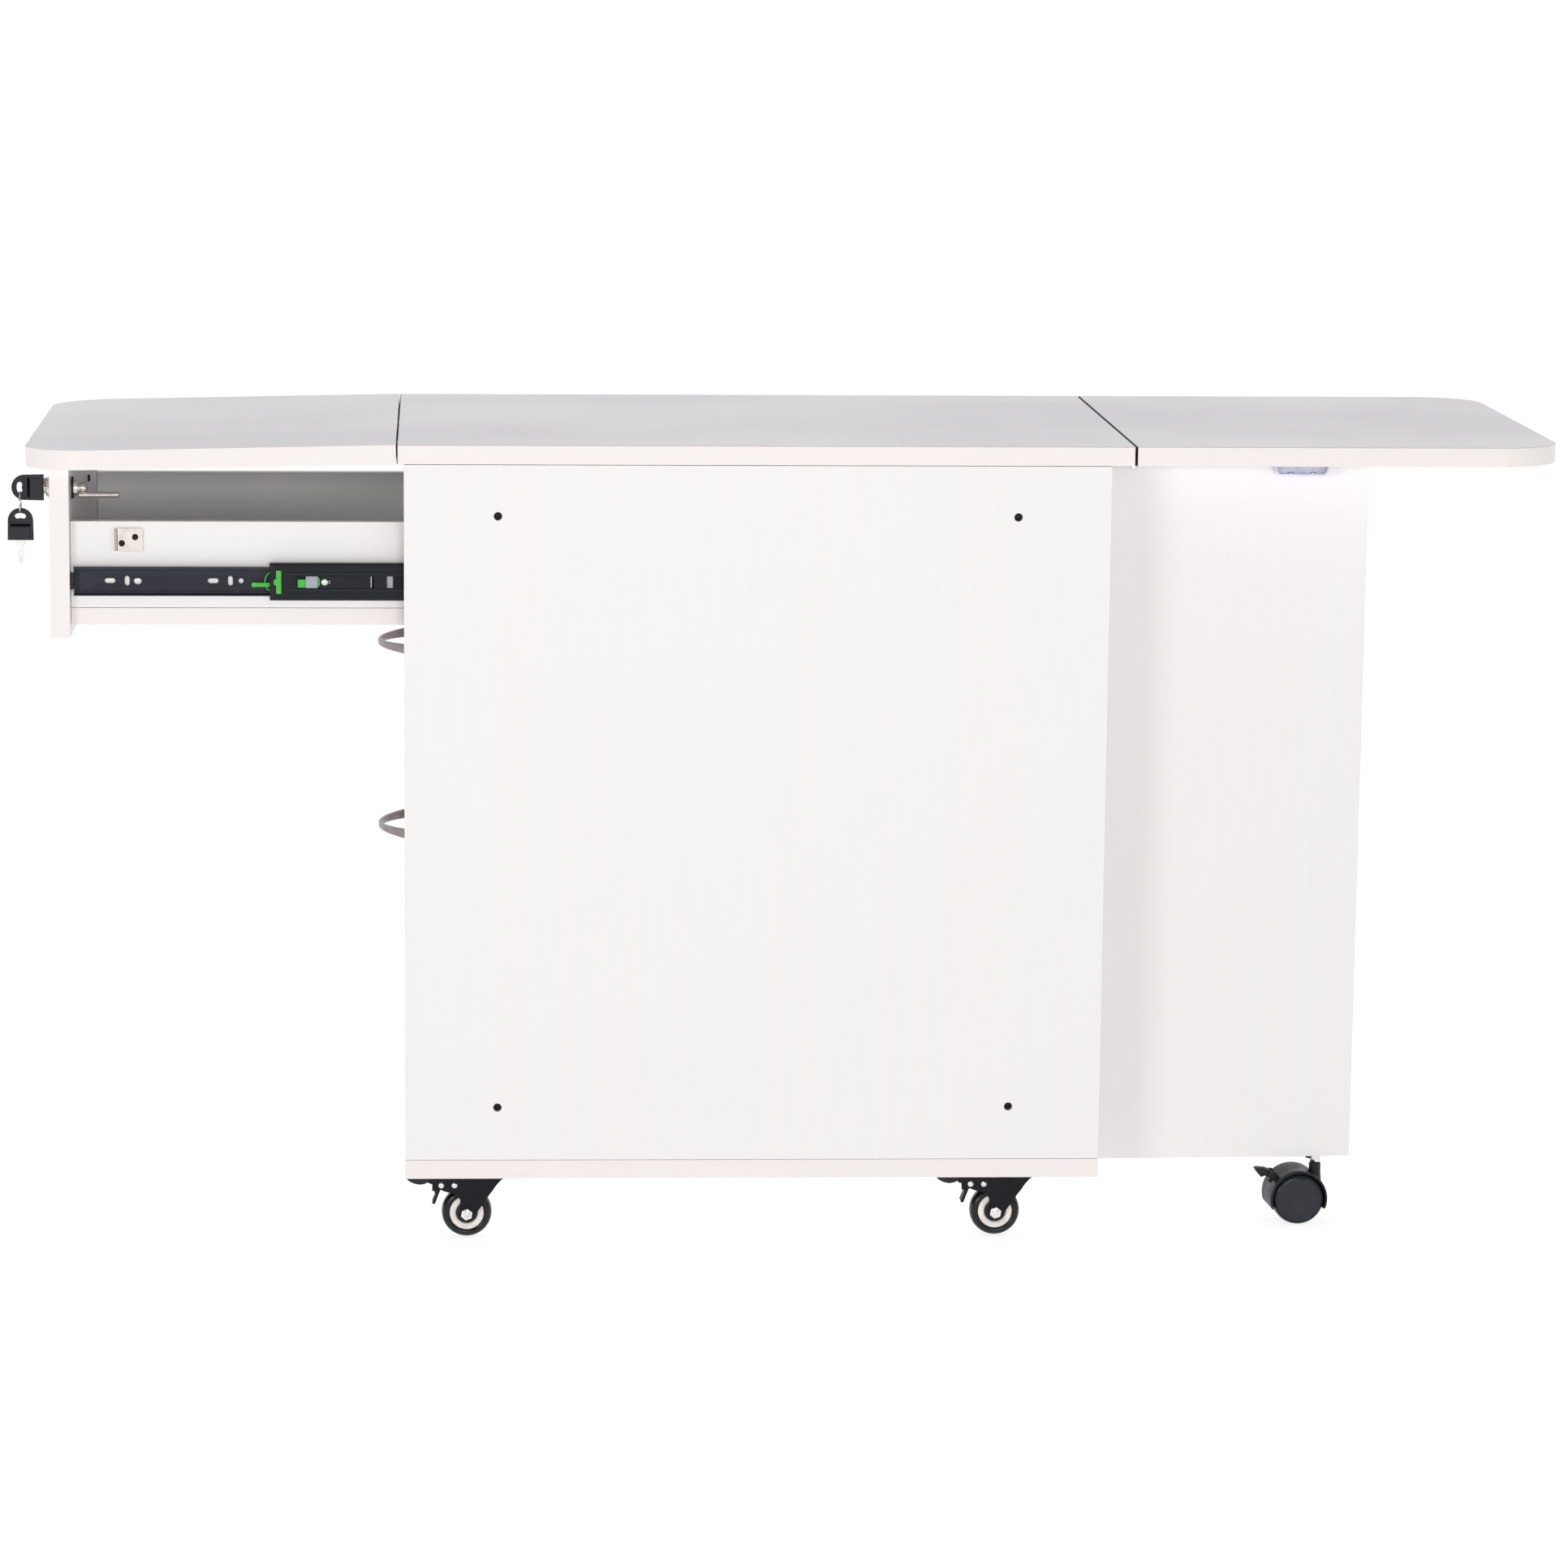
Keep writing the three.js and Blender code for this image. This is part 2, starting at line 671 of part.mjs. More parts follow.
// A key's bow lies in X and Z with its blade along +X from (0, 0): a flat D with a kidney hole,
// and a thicker grip next to the blade.
const bowLength = 30;
const bowHalfWidth = 11.75;
const bowHalfThickness = 1.6;
const holeHalfWidth = 2.6;
const holeHalfHeight = 5.6;
const holeCentre = -bowLength + 7.9;
const grip = { length: 12, halfWidth: 9.5, halfThickness: 3 };
function keyBow() {
  const outline = new THREE.Shape();
  outline.moveTo(0, -bowHalfWidth);
  outline.lineTo(0, bowHalfWidth);
  outline.lineTo(-bowLength + bowHalfWidth, bowHalfWidth);
  outline.absarc(-bowLength + bowHalfWidth, 0, bowHalfWidth, Math.PI / 2, Math.PI * 1.5);
  const hole = roundedRectangle(
    holeCentre - holeHalfWidth,
    holeCentre + holeHalfWidth,
    -holeHalfHeight,
    holeHalfHeight,
    Array(4).fill(holeHalfWidth),
  );
  const gripY = [-grip.halfThickness, grip.halfThickness];
  return join(
    slabXZ(outline, -bowHalfThickness, bowHalfThickness).subtract(slabXZ(hole, -4, 4, 5)),
    block(-grip.length, 0, ...gripY, -grip.halfWidth, grip.halfWidth),
  );
}

// The core runs back out of the nut, and the crank's pin runs on from it below the axis.
const keyStart = noseStart - GAP;
const coreEnd = frontInner + 16.4 - keyStart;
const pinStart = frontInner + 7.7 - keyStart;
const crankEnd = frontInner + 45.5 - keyStart;
const pinOffset = 6.6;
const lockKey = join(
  keyBow(),
  rod([-0.5, 0, 0], [coreEnd, 0, 0], coreRadius, coreRadius, 20),
  rod([pinStart, 0, -pinOffset], [crankEnd, 0, -pinOffset], 2.7, 2.4, 12),
);
const lockAxis = groupAt(topDrawer, keyStart, LOCK_Y, LOCK_Z);
piece(lockAxis, 'lock_key', lockKey, blackPlastic);

// The spare key hangs by a wire ring from the rim of the first key's hole.
const ringRadius = 9.4;
const ringWire = 0.65;
const rimTop = LOCK_Z - holeHalfHeight;
const ringCentre = rimTop + 0.8 + ringWire - ringRadius;
const spareTop = ringCentre - ringRadius + 3.6;
const ring = new THREE.TorusGeometry(ringRadius, ringWire, 6, 20);
ring.rotateY(Math.PI / 2);
ring.translate(0, 0, ringCentre - spareTop);
const collar = { length: 5, half: 4.4 };
const blade = { length: 21.5, half: 2.8, halfThickness: 1 };
const toothPitch = 4;
const bladeShape = new THREE.Shape();
bladeShape.moveTo(-1, -collar.half);
bladeShape.lineTo(collar.length, -collar.half);
bladeShape.lineTo(collar.length + 2, -blade.half);
for (let tooth = 0; tooth < 3; tooth++) {
  bladeShape.lineTo(9.5 + tooth * toothPitch, -1.2);
  bladeShape.lineTo(11 + tooth * toothPitch, -blade.half);
}
bladeShape.lineTo(blade.length, -1);
bladeShape.lineTo(blade.length, 1);
bladeShape.lineTo(blade.length - 2.5, blade.half);
bladeShape.lineTo(collar.length, blade.half);
bladeShape.lineTo(collar.length, collar.half);
bladeShape.lineTo(-1, collar.half);
const spareBody = solidOf(
  geometryOf(keyBow().add(slabXZ(bladeShape, -blade.halfThickness, blade.halfThickness)))
    .rotateY(Math.PI / 2)
    .translate(0, 0, -bowLength),
);
const spareKey = groupAt(topDrawer, keyStart + holeCentre, LOCK_Y, spareTop);
piece(spareKey, 'spare_key', spareBody.add(solidOf(ring)), blackPlastic);

// ---------------------------------------------------------------- cabinet casters

// Each caster in its own frame: the swivel axis on Z, the wheel trailing towards -X.
const trail = 18;
const wheelRadius = 24;
const wheelHalfWidth = 10;
const cheekOuter = 14.5;
const cheekInner = 12.5;
const forkTop = 61.8;
const forkX = [-52.5, 24];
const lugRadius = 7;
const axleRadius = 3.1;
const nutRadius = 5.9;
const nutEnd = 18.5;
const boltEnd = 19.5;
const pedalPivot = { x: -28.8, z: 51.5 };

// The cheek's edge in front of the axle lug, from the top down, and behind it, from the lug up.
const cheekFront = [
  [19.6, 59.8],
  [14.8, 57],
  [10.6, 52.4],
  [6.5, 46.3],
  [2.7, 41.4],
  [-3.2, 32.2],
  [-8, 25.8],
];
const cheekBack = [
  [-25, 30],
  [-23.9, 37],
  [-26.6, 41.7],
  [-30.4, 43.8],
  [-38.3, 45.6],
  [-42.5, 47.4],
  [-46.6, 47],
  [-51, 46.3],
  [-51, 55.2],
  [-52.5, 57],
];

function casterFork() {
  const cheek = new THREE.Shape();
  cheek.moveTo(forkX[1], forkTop);
  cheek.lineTo(forkX[1], forkTop - 1);
  cheekFront.forEach(([x, z]) => cheek.lineTo(x, z));
  cheek.absarc(-trail, wheelRadius, lugRadius, -0.4, -Math.PI - 0.1, true);
  cheekBack.forEach(([x, z]) => cheek.lineTo(x, z));
  cheek.lineTo(forkX[0], forkTop);
  const axlePoint = (y) => [-trail, y, wheelRadius];
  const onAxle = (y0, y1, radius, count) => rod(axlePoint(y0), axlePoint(y1), radius, radius, count);
  return join(
    slabXZ(cheek, -cheekOuter, -cheekInner, 6),
    slabXZ(cheek, cheekInner, cheekOuter, 6),
    block(...forkX, -cheekOuter, cheekOuter, forkTop - 2, forkTop),
    rod([0, 0, forkTop - 5], [0, 0, forkTop], 14, 20),
    onAxle(-boltEnd, boltEnd, axleRadius, 12),
    onAxle(-nutEnd, 0.5 - cheekOuter, nutRadius, 6),
    onAxle(cheekOuter - 0.5, nutEnd, nutRadius, 6),
  );
}

function casterWheel() {
  const outer = wheelRadius;
  const half = wheelHalfWidth;
  const bore = 3.4;
  const hub = half + 1.5;
  const profile = [
    [bore, -hub],
    [10, -hub],
    [10.5, 1 - half],
    [16.3, 1 - half],
    [17.2, -half],
    [21, 0.6 - half],
    [outer - 0.6, 4 - half],
    [outer, 0],
    [outer - 0.6, half - 4],
    [21, half - 0.6],
    [17.2, half],
    [16.3, half - 1],
    [10.5, half - 1],
    [10, hub],
    [bore, hub],
    [bore, -hub],
  ];
  return solidOf(new THREE.LatheGeometry(profile.map(([r, y]) => new THREE.Vector2(r, y)), 22));
}

// The foot pedal: a wide cap on a narrow arm, and the tab that it presses on the tyre.
const pedalCapHalf = 15;
const pedalArmHalf = 7;
const pedalHubHalf = 11.5;
function pedalCap(shape) {
  shape.lineTo(-56, 61);
  shape.lineTo(-74, 61);
  shape.lineTo(-75.4, 58);
  shape.lineTo(-70, 54);
}

function casterPedal() {
  const side = new THREE.Shape();
  side.moveTo(-24, 49.5);
  side.lineTo(-24, 54.5);
  side.lineTo(-53, 56);
  pedalCap(side);
  side.lineTo(-56, 51.5);
  side.lineTo(-44.5, 49.8);
  side.lineTo(-51, 33.6);
  side.lineTo(-48.1, 32.4);
  side.lineTo(-41.7, 49.5);
  const cap = new THREE.Shape();
  cap.moveTo(-53, 55);
  pedalCap(cap);
  cap.lineTo(-56, 52.5);
  const { x, z } = pedalPivot;
  return join(
    slabXZ(side, -pedalArmHalf, pedalArmHalf),
    slabXZ(cap, -pedalCapHalf, pedalCapHalf),
    rod([x, -pedalHubHalf, z], [x, pedalHubHalf, z], 3.5, 3.5, 16),
  );
}

for (const [end, x] of Object.entries(CASTERS_X)) {
  for (const [side, y] of Object.entries(CASTERS_Y)) {
    const caster = groupAt(table, x, y, 0);
    piece(caster, `caster_fork_${end}_${side}`, casterFork(), blackSteel);
    const wheel = piece(caster, `caster_wheel_${end}_${side}`, casterWheel(), tyreBlack);
    wheel.position.set(-trail, 0, wheelRadius);
    piece(caster, `caster_brake_${end}_${side}`, casterPedal(), blackPlastic);
  }
}

// ---------------------------------------------------------------- gate caster

// In its own frame as above: a hooded twin wheel, with its brake lever at the trailing end.
const twinRadius = 25;
const twinTrail = 19.3;
const twinHubGap = 0.6;
const twinWidth = 17;
const hoodRadius = 28;
const hoodHalfWidth = 22;
const webHalf = 3;
const stemRadius = 5.65;
const leverPivot = { x: -42.8, z: 46, radius: 4.5, pin: 1.4, bore: 1.7 };

function gateCasterHood() {
  const cover = new THREE.Shape();
  cover.absarc(-twinTrail, twinRadius, hoodRadius, -0.35, Math.PI + 0.35);
  const lever = (radius) => rod(
    [leverPivot.x, -8, leverPivot.z],
    [leverPivot.x, 8, leverPivot.z],
    radius,
    radius,
    16,
  );
  let hood = join(
    slabXZ(cover, -hoodHalfWidth, hoodHalfWidth, 28),
    rod([0, 0, twinRadius + 4], [0, 0, CASTER_HEIGHT - 8], stemRadius, stemRadius, 20),
    rod([0, 0, CASTER_HEIGHT - 9], [0, 0, CASTER_HEIGHT - GAP], 3.6, 5.15, 20),
    lever(leverPivot.radius),
  );
  for (const side of [-1, 1]) {
    const start = [-twinTrail, side * webHalf, twinRadius];
    const end = [-twinTrail, side * (hoodHalfWidth + 1), twinRadius];
    hood = hood.subtract(rod(start, end, twinRadius + 1, twinRadius + 1, 32));
  }
  const slot = block(-75, -39.3, -5.4, 5.4, 38, 60);
  const bore = rod([-twinTrail, -5, twinRadius], [-twinTrail, 5, twinRadius], 3.4, 3.4, 16);
  return hood.subtract(slot).subtract(bore).add(lever(leverPivot.pin));
}

function gateCasterWheels() {
  const inner = webHalf + twinHubGap;
  const outer = inner + twinWidth;
  const shoulder = outer - 3;
  const axle = rod([0, -inner - 1, 0], [0, inner + 1, 0], 3, 3, 16);
  const disc = (side) => join(
    rod([0, side * inner, 0], [0, side * shoulder, 0], twinRadius, twinRadius, 32),
    rod([0, side * shoulder, 0], [0, side * outer, 0], twinRadius, twinRadius - 3.5, 32),
  );
  return join(axle, disc(-1), disc(1));
}

function gateCasterLever() {
  const { x, z, bore } = leverPivot;
  const side = new THREE.Shape();
  side.moveTo(x - 0.5, z + 3.5);
  side.lineTo(x - 4.9, z + 6.2);
  side.lineTo(x - 15.5, z + 7.2);
  side.lineTo(x - 17, z + 5.6);
  side.lineTo(x - 10.9, z - 2);
  side.lineTo(x - 7.5, z - 0.4);
  side.lineTo(x - 3, z - 3.2);
  side.lineTo(x + 0.5, z - 3.4);
  side.lineTo(x + 2.8, z);
  return slabXZ(side, -5, 5).subtract(rod([x, -9, z], [x, 9, z], bore, bore, 12));
}

const gateCaster = groupAt(gate, GATE_CASTER_STEM, gateMiddle, 0);
gateCaster.rotation.z = GATE_CASTER_SWIVEL;
piece(gateCaster, 'gate_caster_hood', gateCasterHood(), blackPlastic);
const twinWheels = piece(gateCaster, 'gate_caster_wheels', gateCasterWheels(), tyreBlack);
twinWheels.position.set(-twinTrail, 0, twinRadius);
piece(gateCaster, 'gate_caster_lever', gateCasterLever(), blackPlastic);

export default group;
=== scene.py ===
"""A sewing table on casters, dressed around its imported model.

Shapes are built in millimetres in a frame of their own, and placed in metres from the model's
boxes and joints. X runs from the drawers to the gate, Y from the near side to the far side.
"""

import json
import math

import bmesh
import bpy
from mathutils import Matrix, Vector


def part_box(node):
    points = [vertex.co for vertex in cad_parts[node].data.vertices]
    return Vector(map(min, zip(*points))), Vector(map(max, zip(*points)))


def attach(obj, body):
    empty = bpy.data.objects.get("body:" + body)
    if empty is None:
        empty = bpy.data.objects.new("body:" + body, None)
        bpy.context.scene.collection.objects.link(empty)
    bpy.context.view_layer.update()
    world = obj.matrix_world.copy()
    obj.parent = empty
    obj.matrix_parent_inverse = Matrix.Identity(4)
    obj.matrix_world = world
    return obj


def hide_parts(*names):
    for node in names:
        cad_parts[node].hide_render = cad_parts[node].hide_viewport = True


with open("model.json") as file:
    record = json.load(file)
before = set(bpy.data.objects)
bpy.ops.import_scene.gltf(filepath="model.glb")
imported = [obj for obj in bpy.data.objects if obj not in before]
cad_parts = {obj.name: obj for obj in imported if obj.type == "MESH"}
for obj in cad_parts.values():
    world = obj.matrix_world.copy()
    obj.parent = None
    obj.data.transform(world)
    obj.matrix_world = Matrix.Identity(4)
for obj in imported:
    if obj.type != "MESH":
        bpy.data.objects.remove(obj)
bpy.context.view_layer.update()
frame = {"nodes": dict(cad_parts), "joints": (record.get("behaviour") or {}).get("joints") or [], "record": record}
record = frame["record"]

MM = 0.001
BODY_OF = {node: body for body, nodes in record["behaviour"]["bodies"].items() for node in nodes}
PIVOT = {joint["name"]: Vector(joint["pos_m"]) for joint in frame["joints"] if "pos_m" in joint}
SIDES = ("near", "far")
DRAWERS = ("top", "middle", "bottom")


# ---------------------------------------------------------------- materials

def linear(red, green, blue):
    """An sRGB colour, 0 to 255, as the linear colour that a shader takes."""
    def one(value):
        value /= 255
        return value / 12.92 if value <= 0.04045 else ((value + 0.055) / 1.055) ** 2.4
    return (one(red), one(green), one(blue))


class Graph:
    """A material's nodes, added one at a time."""

    def __init__(self, name):
        self.material = bpy.data.materials.new(name)
        self.material.use_nodes = True
        self.tree = self.material.node_tree
        self.shader = self.tree.nodes["Principled BSDF"]

    def node(self, kind, inputs=None, **settings):
        node = self.tree.nodes.new(kind)
        for key, value in settings.items():
            setattr(node, key, value)
        for key, value in (inputs or {}).items():
            if isinstance(value, bpy.types.NodeSocket):
                self.tree.links.new(value, node.inputs[key])
            else:
                node.inputs[key].default_value = value
        return node

    def noise(self, stretch, scale, detail=4.0, roughness=0.55):
        """Noise over the object, with its grain drawn out by the inverse of stretch."""
        place = self.node("ShaderNodeTexCoord").outputs["Object"]
        mapped = self.node("ShaderNodeMapping", {"Vector": place, "Scale": stretch})
        inputs = {"Vector": mapped.outputs[0], "Scale": scale, "Detail": detail, "Roughness": roughness}
        return self.node("ShaderNodeTexNoise", inputs).outputs["Fac"]

    def spread(self, fac, low, high, start=0.3, end=0.7):
        """Maps a noise value to a range."""
        inputs = {"Value": fac, "From Min": start, "From Max": end, "To Min": low, "To Max": high}
        return self.node("ShaderNodeMapRange", inputs).outputs["Result"]

    def mix(self, fac, first, second):
        node = self.node("ShaderNodeMix", data_type="RGBA")
        pairs = ((node.inputs["Factor"], fac), (node.inputs[6], first), (node.inputs[7], second))
        for socket, value in pairs:
            if isinstance(value, bpy.types.NodeSocket):
                self.tree.links.new(value, socket)
            elif isinstance(value, tuple):
                socket.default_value = (*value, 1.0)
            else:
                socket.default_value = value
        return node.outputs[2]

    def bump(self, height, strength, distance, normal=None):
        inputs = {"Height": height, "Strength": strength, "Distance": distance}
        if normal is not None:
            inputs["Normal"] = normal
        return self.node("ShaderNodeBump", inputs).outputs["Normal"]

    def link(self, output, socket):
        self.tree.links.new(output, self.shader.inputs[socket])

    def set(self, **values):
        for key, value in values.items():
            self.shader.inputs[key.replace("_", " ")].default_value = value


def shade(color, factor):
    return tuple(min(1.0, channel * factor) for channel in color)


def board_finish(name, color, rough, grain_axis, contrast=0.012, coat=0.0):
    """Printed melamine or edge band: long fine streaks along one axis, and a faint orange-peel."""
    graph = Graph(name)
    stretch = [1.0, 1.0, 1.0]
    stretch["XYZ".index(grain_axis)] = 0.025
    streaks = graph.noise(stretch, 420.0, 5.0)
    broad = graph.noise(stretch, 45.0, 3.0)
    cloud = graph.noise((1.0, 1.0, 1.0), 3.5, 2.0)
    fine = graph.mix(graph.spread(streaks, 0.0, 1.0), shade(color, 1 - contrast), shade(color, 1 + contrast))
    warm = (color[0] * 1.01, color[1] * 0.99, color[2] * 0.965)
    graph.link(graph.mix(graph.spread(broad, 0.0, 0.45), fine, warm), "Base Color")
    graph.link(graph.spread(cloud, rough - 0.04, rough + 0.05), "Roughness")
    peel = graph.noise((1.0, 1.0, 1.0), 900.0, 2.0)
    rough_normal = graph.bump(peel, 0.03, 0.0002)
    graph.link(graph.bump(streaks, 0.03, 0.0002, rough_normal), "Normal")
    graph.set(Coat_Weight=coat, Coat_Roughness=0.12, Specular_IOR_Level=0.45)
    return graph.material


def moulded(name, color, rough, grain=0.12, sheen_spots=0.25, worn=None, specular=0.5):
    """Moulded plastic or rubber: fine spark-eroded grain, uneven gloss and paler worn edges."""
    graph = Graph(name)
    cloud = graph.noise((1.0, 1.0, 1.0), 60.0, 3.0)
    grit = graph.noise((1.0, 1.0, 1.0), 2600.0, 2.0)
    body = graph.mix(graph.spread(cloud, 0.0, 1.0), shade(color, 0.85), shade(color, 1.15))
    if worn is not None:
        edge = graph.node("ShaderNodeNewGeometry").outputs["Pointiness"]
        mask = graph.spread(edge, 0.0, 0.35, 0.53, 0.62)
        body = graph.mix(mask, body, worn)
    graph.link(body, "Base Color")
    graph.link(graph.spread(cloud, rough * (1 - sheen_spots), rough * (1 + sheen_spots)), "Roughness")
    graph.link(graph.bump(grit, grain, 0.0001), "Normal")
    graph.set(Specular_IOR_Level=specular)
    return graph.material


def metal(name, color, rough, stretch=(1.0, 1.0, 1.0), scratch=0.08, metallic=1.0, worn=None, specular=0.5):
    """Plated or painted metal: drawn-out scratches, blotchy gloss and rubbed edges."""
    graph = Graph(name)
    lines = graph.noise(stretch, 900.0, 5.0, 0.7)
    blotch = graph.noise((1.0, 1.0, 1.0), 90.0, 3.0)
    body = graph.mix(graph.spread(blotch, 0.0, 1.0), shade(color, 0.86), shade(color, 1.08))
    if worn is not None:
        edge = graph.node("ShaderNodeNewGeometry").outputs["Pointiness"]
        rubbed = graph.spread(edge, 0.0, 0.5, 0.54, 0.64)
        body = graph.mix(rubbed, body, worn)
    graph.link(body, "Base Color")
    graph.link(graph.spread(lines, rough * 0.75, rough * 1.3), "Roughness")
    graph.link(graph.bump(lines, scratch, 0.0001), "Normal")
    graph.set(Metallic=metallic, Specular_IOR_Level=specular)
    return graph.material


LAMINATE = board_finish("laminate_upright", linear(240, 237, 238), 0.42, "Z")
LAMINATE_LEVEL = board_finish("laminate_level", linear(238, 236, 236), 0.42, "X")
WORKTOP = board_finish("worktop_laminate", linear(221, 217, 222), 0.26, "X", 0.01, coat=0.3)
BAND = board_finish("edge_band", linear(240, 234, 232), 0.36, "X", 0.01)
BAND_UPRIGHT = board_finish("edge_band_upright", linear(240, 234, 232), 0.36, "Z", 0.01)
# Dark brown for the end faces at a seam: painted shade standing in for the shadowed gap between top and leaf.
SEAM_SHADE = board_finish("seam_painted_shade", linear(74, 64, 60), 0.6, "Y")
STEEL_BLACK = metal("black_steel", linear(17, 18, 21), 0.4, (0.06, 1, 1), 0.05, 0.1,
                    linear(58, 60, 66), 0.14)
STEEL_INNER = metal("black_steel_inner", linear(33, 35, 44), 0.38, (0.06, 1, 1), 0.05, 0.15,
                    linear(80, 83, 92), 0.18)
STEEL_FORK = metal("black_fork_steel", linear(21, 22, 27), 0.4, (1, 1, 0.2), 0.06, 0.1,
                   linear(74, 77, 78), 0.16)
NICKEL = metal("nickel_plate", linear(212, 205, 196), 0.26, (1, 1, 1), 0.05)
NICKEL_BRIGHT = metal("nickel_bright", linear(230, 228, 225), 0.22, (1, 1, 1), 0.05)
NICKEL_DRAWN = metal("nickel_drawn", linear(206, 200, 192), 0.24, (0.05, 1, 1), 0.06)
ZINC = metal("zinc_plate", linear(204, 207, 214), 0.3, (1, 1, 0.2), 0.06)
TAUPE = metal("taupe_metal", linear(146, 134, 136), 0.3, (1, 1, 1), 0.04, 0.75, linear(196, 188, 190))
SCREW_BLACK = metal("black_screw", linear(30, 28, 30), 0.38, (1, 1, 1), 0.05, 0.5,
                    linear(96, 92, 92), 0.3)
PLASTIC_BLACK = moulded("black_plastic", linear(26, 26, 31), 0.42, worn=linear(56, 57, 64),
                        specular=0.3)
PLASTIC_KEY = moulded("key_plastic", linear(30, 31, 39), 0.48, 0.18, worn=linear(58, 60, 70),
                      specular=0.3)
# Near-black, low-gloss floor for the key head's groove: painted shade in the groove.
KEY_GROOVE_SHADE = moulded("key_groove_painted_shade", linear(8, 8, 11), 0.7, 0.18, specular=0.05)
PLASTIC_GREEN = moulded("green_plastic", linear(53, 186, 44), 0.4)
PLASTIC_GREY = moulded("grey_plastic", linear(158, 162, 172), 0.4)
PLASTIC_FROSTED = moulded("frosted_plastic", linear(206, 210, 224), 0.26, 0.05)
HUB_CREAM = moulded("hub_cream", linear(234, 226, 219), 0.38, 0.08)
TYRE = moulded("tyre_rubber", linear(19, 19, 23), 0.24, 0.06, specular=0.35)
WHEEL_DISC = moulded("wheel_disc", linear(32, 35, 44), 0.24, 0.05, specular=0.35)


# ---------------------------------------------------------------- shapes, in millimetres

def bevelled(part, width, segments=2, angle=35.0):
    """Rounds every edge sharper than angle."""
    part.edges.ensure_lookup_table()
    sharp = [e for e in part.edges if len(e.link_faces) == 2 and e.calc_face_angle() > math.radians(angle)]
    if width and sharp:
        bmesh.ops.bevel(part, geom=sharp, offset=width, segments=segments, profile=0.5,
                        affect="EDGES", clamp_overlap=True)
    return part


def block(x0, x1, y0, y1, z0, z1, bevel=0.3, segments=2):
    part = bmesh.new()
    bmesh.ops.create_cube(part, size=1.0)
    size = Matrix.Diagonal((x1 - x0, y1 - y0, z1 - z0, 1.0))
    centre = Vector(((x0 + x1) / 2, (y0 + y1) / 2, (z0 + z1) / 2))
    bmesh.ops.transform(part, matrix=Matrix.Translation(centre) @ size, verts=part.verts)
    return bevelled(part, bevel, segments)


def outline(*corners, steps=6):
    """A closed outline from corners (u, v) or (u, v, radius), with each radius made an arc."""
    points = []
    for i, corner in enumerate(corners):
        here = Vector(corner[:2])
        radius = corner[2] if len(corner) > 2 else 0.0
        if not radius:
            points.append(here)
            continue
        back = (Vector(corners[i - 1][:2]) - here).normalized()
        ahead = (Vector(corners[(i + 1) % len(corners)][:2]) - here).normalized()
        half = back.angle(ahead) / 2
        setback = radius / math.tan(half)
        centre = here + (back + ahead).normalized() * (radius / math.sin(half))
        start = here + back * setback - centre
        turn = math.pi - 2 * half
        if back.x * ahead.y - back.y * ahead.x > 0:
            turn = -turn
        for k in range(steps + 1):
            a = turn * k / steps
            points.append(centre + Vector((start.x * math.cos(a) - start.y * math.sin(a),
                                           start.x * math.sin(a) + start.y * math.cos(a))))
    return points


def arc(u, v, radius, start, end, steps=24):
    """Points on an arc, its angles in degrees."""
    angles = [math.radians(start + (end - start) * i / steps) for i in range(steps + 1)]
    return [Vector((u + radius * math.cos(a), v + radius * math.sin(a))) for a in angles]


def slot_outline(u, v, width, height, steps=8):
    """A level or upright slot with round ends."""
    radius = min(width, height) / 2 - 0.01
    u0, u1, v0, v1 = u - width / 2, u + width / 2, v - height / 2, v + height / 2
    return outline((u0, v0, radius), (u1, v0, radius), (u1, v1, radius), (u0, v1, radius), steps=steps)


def hexagon_outline(u, v, radius, start):
    """The six corners of a nut or a key socket, the first at an angle in degrees."""
    angles = [math.radians(a) for a in range(start, start + 360, 60)]
    return [Vector((u + radius * math.cos(a), v + radius * math.sin(a))) for a in angles]


AXES = {"x": ((0, 1, 0), (0, 0, 1), (1, 0, 0)),
        "y": ((1, 0, 0), (0, 0, 1), (0, 1, 0)),
        "z": ((1, 0, 0), (0, 1, 0), (0, 0, 1))}


def prism(points, low, high, axis="y", bevel=0.25, segments=2):
    """An outline given a thickness along an axis."""
    u, v, w = (Vector(direction) for direction in AXES[axis])
    part = bmesh.new()
    ring = [part.verts.new(u * p[0] + v * p[1] + w * low) for p in points]
    face = part.faces.new(ring)
    moved = bmesh.ops.extrude_face_region(part, geom=[face])["geom"]
    lifted = [g for g in moved if isinstance(g, bmesh.types.BMVert)]
    bmesh.ops.translate(part, vec=w * (high - low), verts=lifted)
    bmesh.ops.recalc_face_normals(part, faces=part.faces)
    return bevelled(part, bevel, segments)


def lathe(profile, base=(0, 0, 0), axis="z", steps=48):
    """A profile of (radius, height) turned round an axis. It starts and ends on the axis, or closes."""
    u, v, w = (Vector(direction) for direction in AXES[axis])
    part = bmesh.new()
    rings = []
    for radius, height in profile:
        centre = Vector(base) + w * height
        if radius < 1e-6:
            rings.append([part.verts.new(centre)])
            continue
        turns = [2 * math.pi * k / steps for k in range(steps)]
        rings.append([part.verts.new(centre + (u * math.cos(a) + v * math.sin(a)) * radius) for a in turns])
    if profile[0] == profile[-1] and profile[0][0] > 0:
        for vert in rings.pop():
            part.verts.remove(vert)
        rings.append(rings[0])
    for first, second in zip(rings, rings[1:]):
        for k in range(steps):
            nxt = (k + 1) % steps
            if len(first) == 1:
                part.faces.new((first[0], second[k], second[nxt]))
            elif len(second) == 1:
                part.faces.new((first[k], second[0], first[nxt]))
            else:
                part.faces.new((first[k], second[k], second[nxt], first[nxt]))
    bmesh.ops.recalc_face_normals(part, faces=part.faces)
    return part


def disc_profile(radius, low, high, edge=0.4):
    """The profile of a plain disc with chamfered rims."""
    return [(0, low), (radius - edge, low), (radius, low + edge),
            (radius, high - edge), (radius - edge, high), (0, high)]


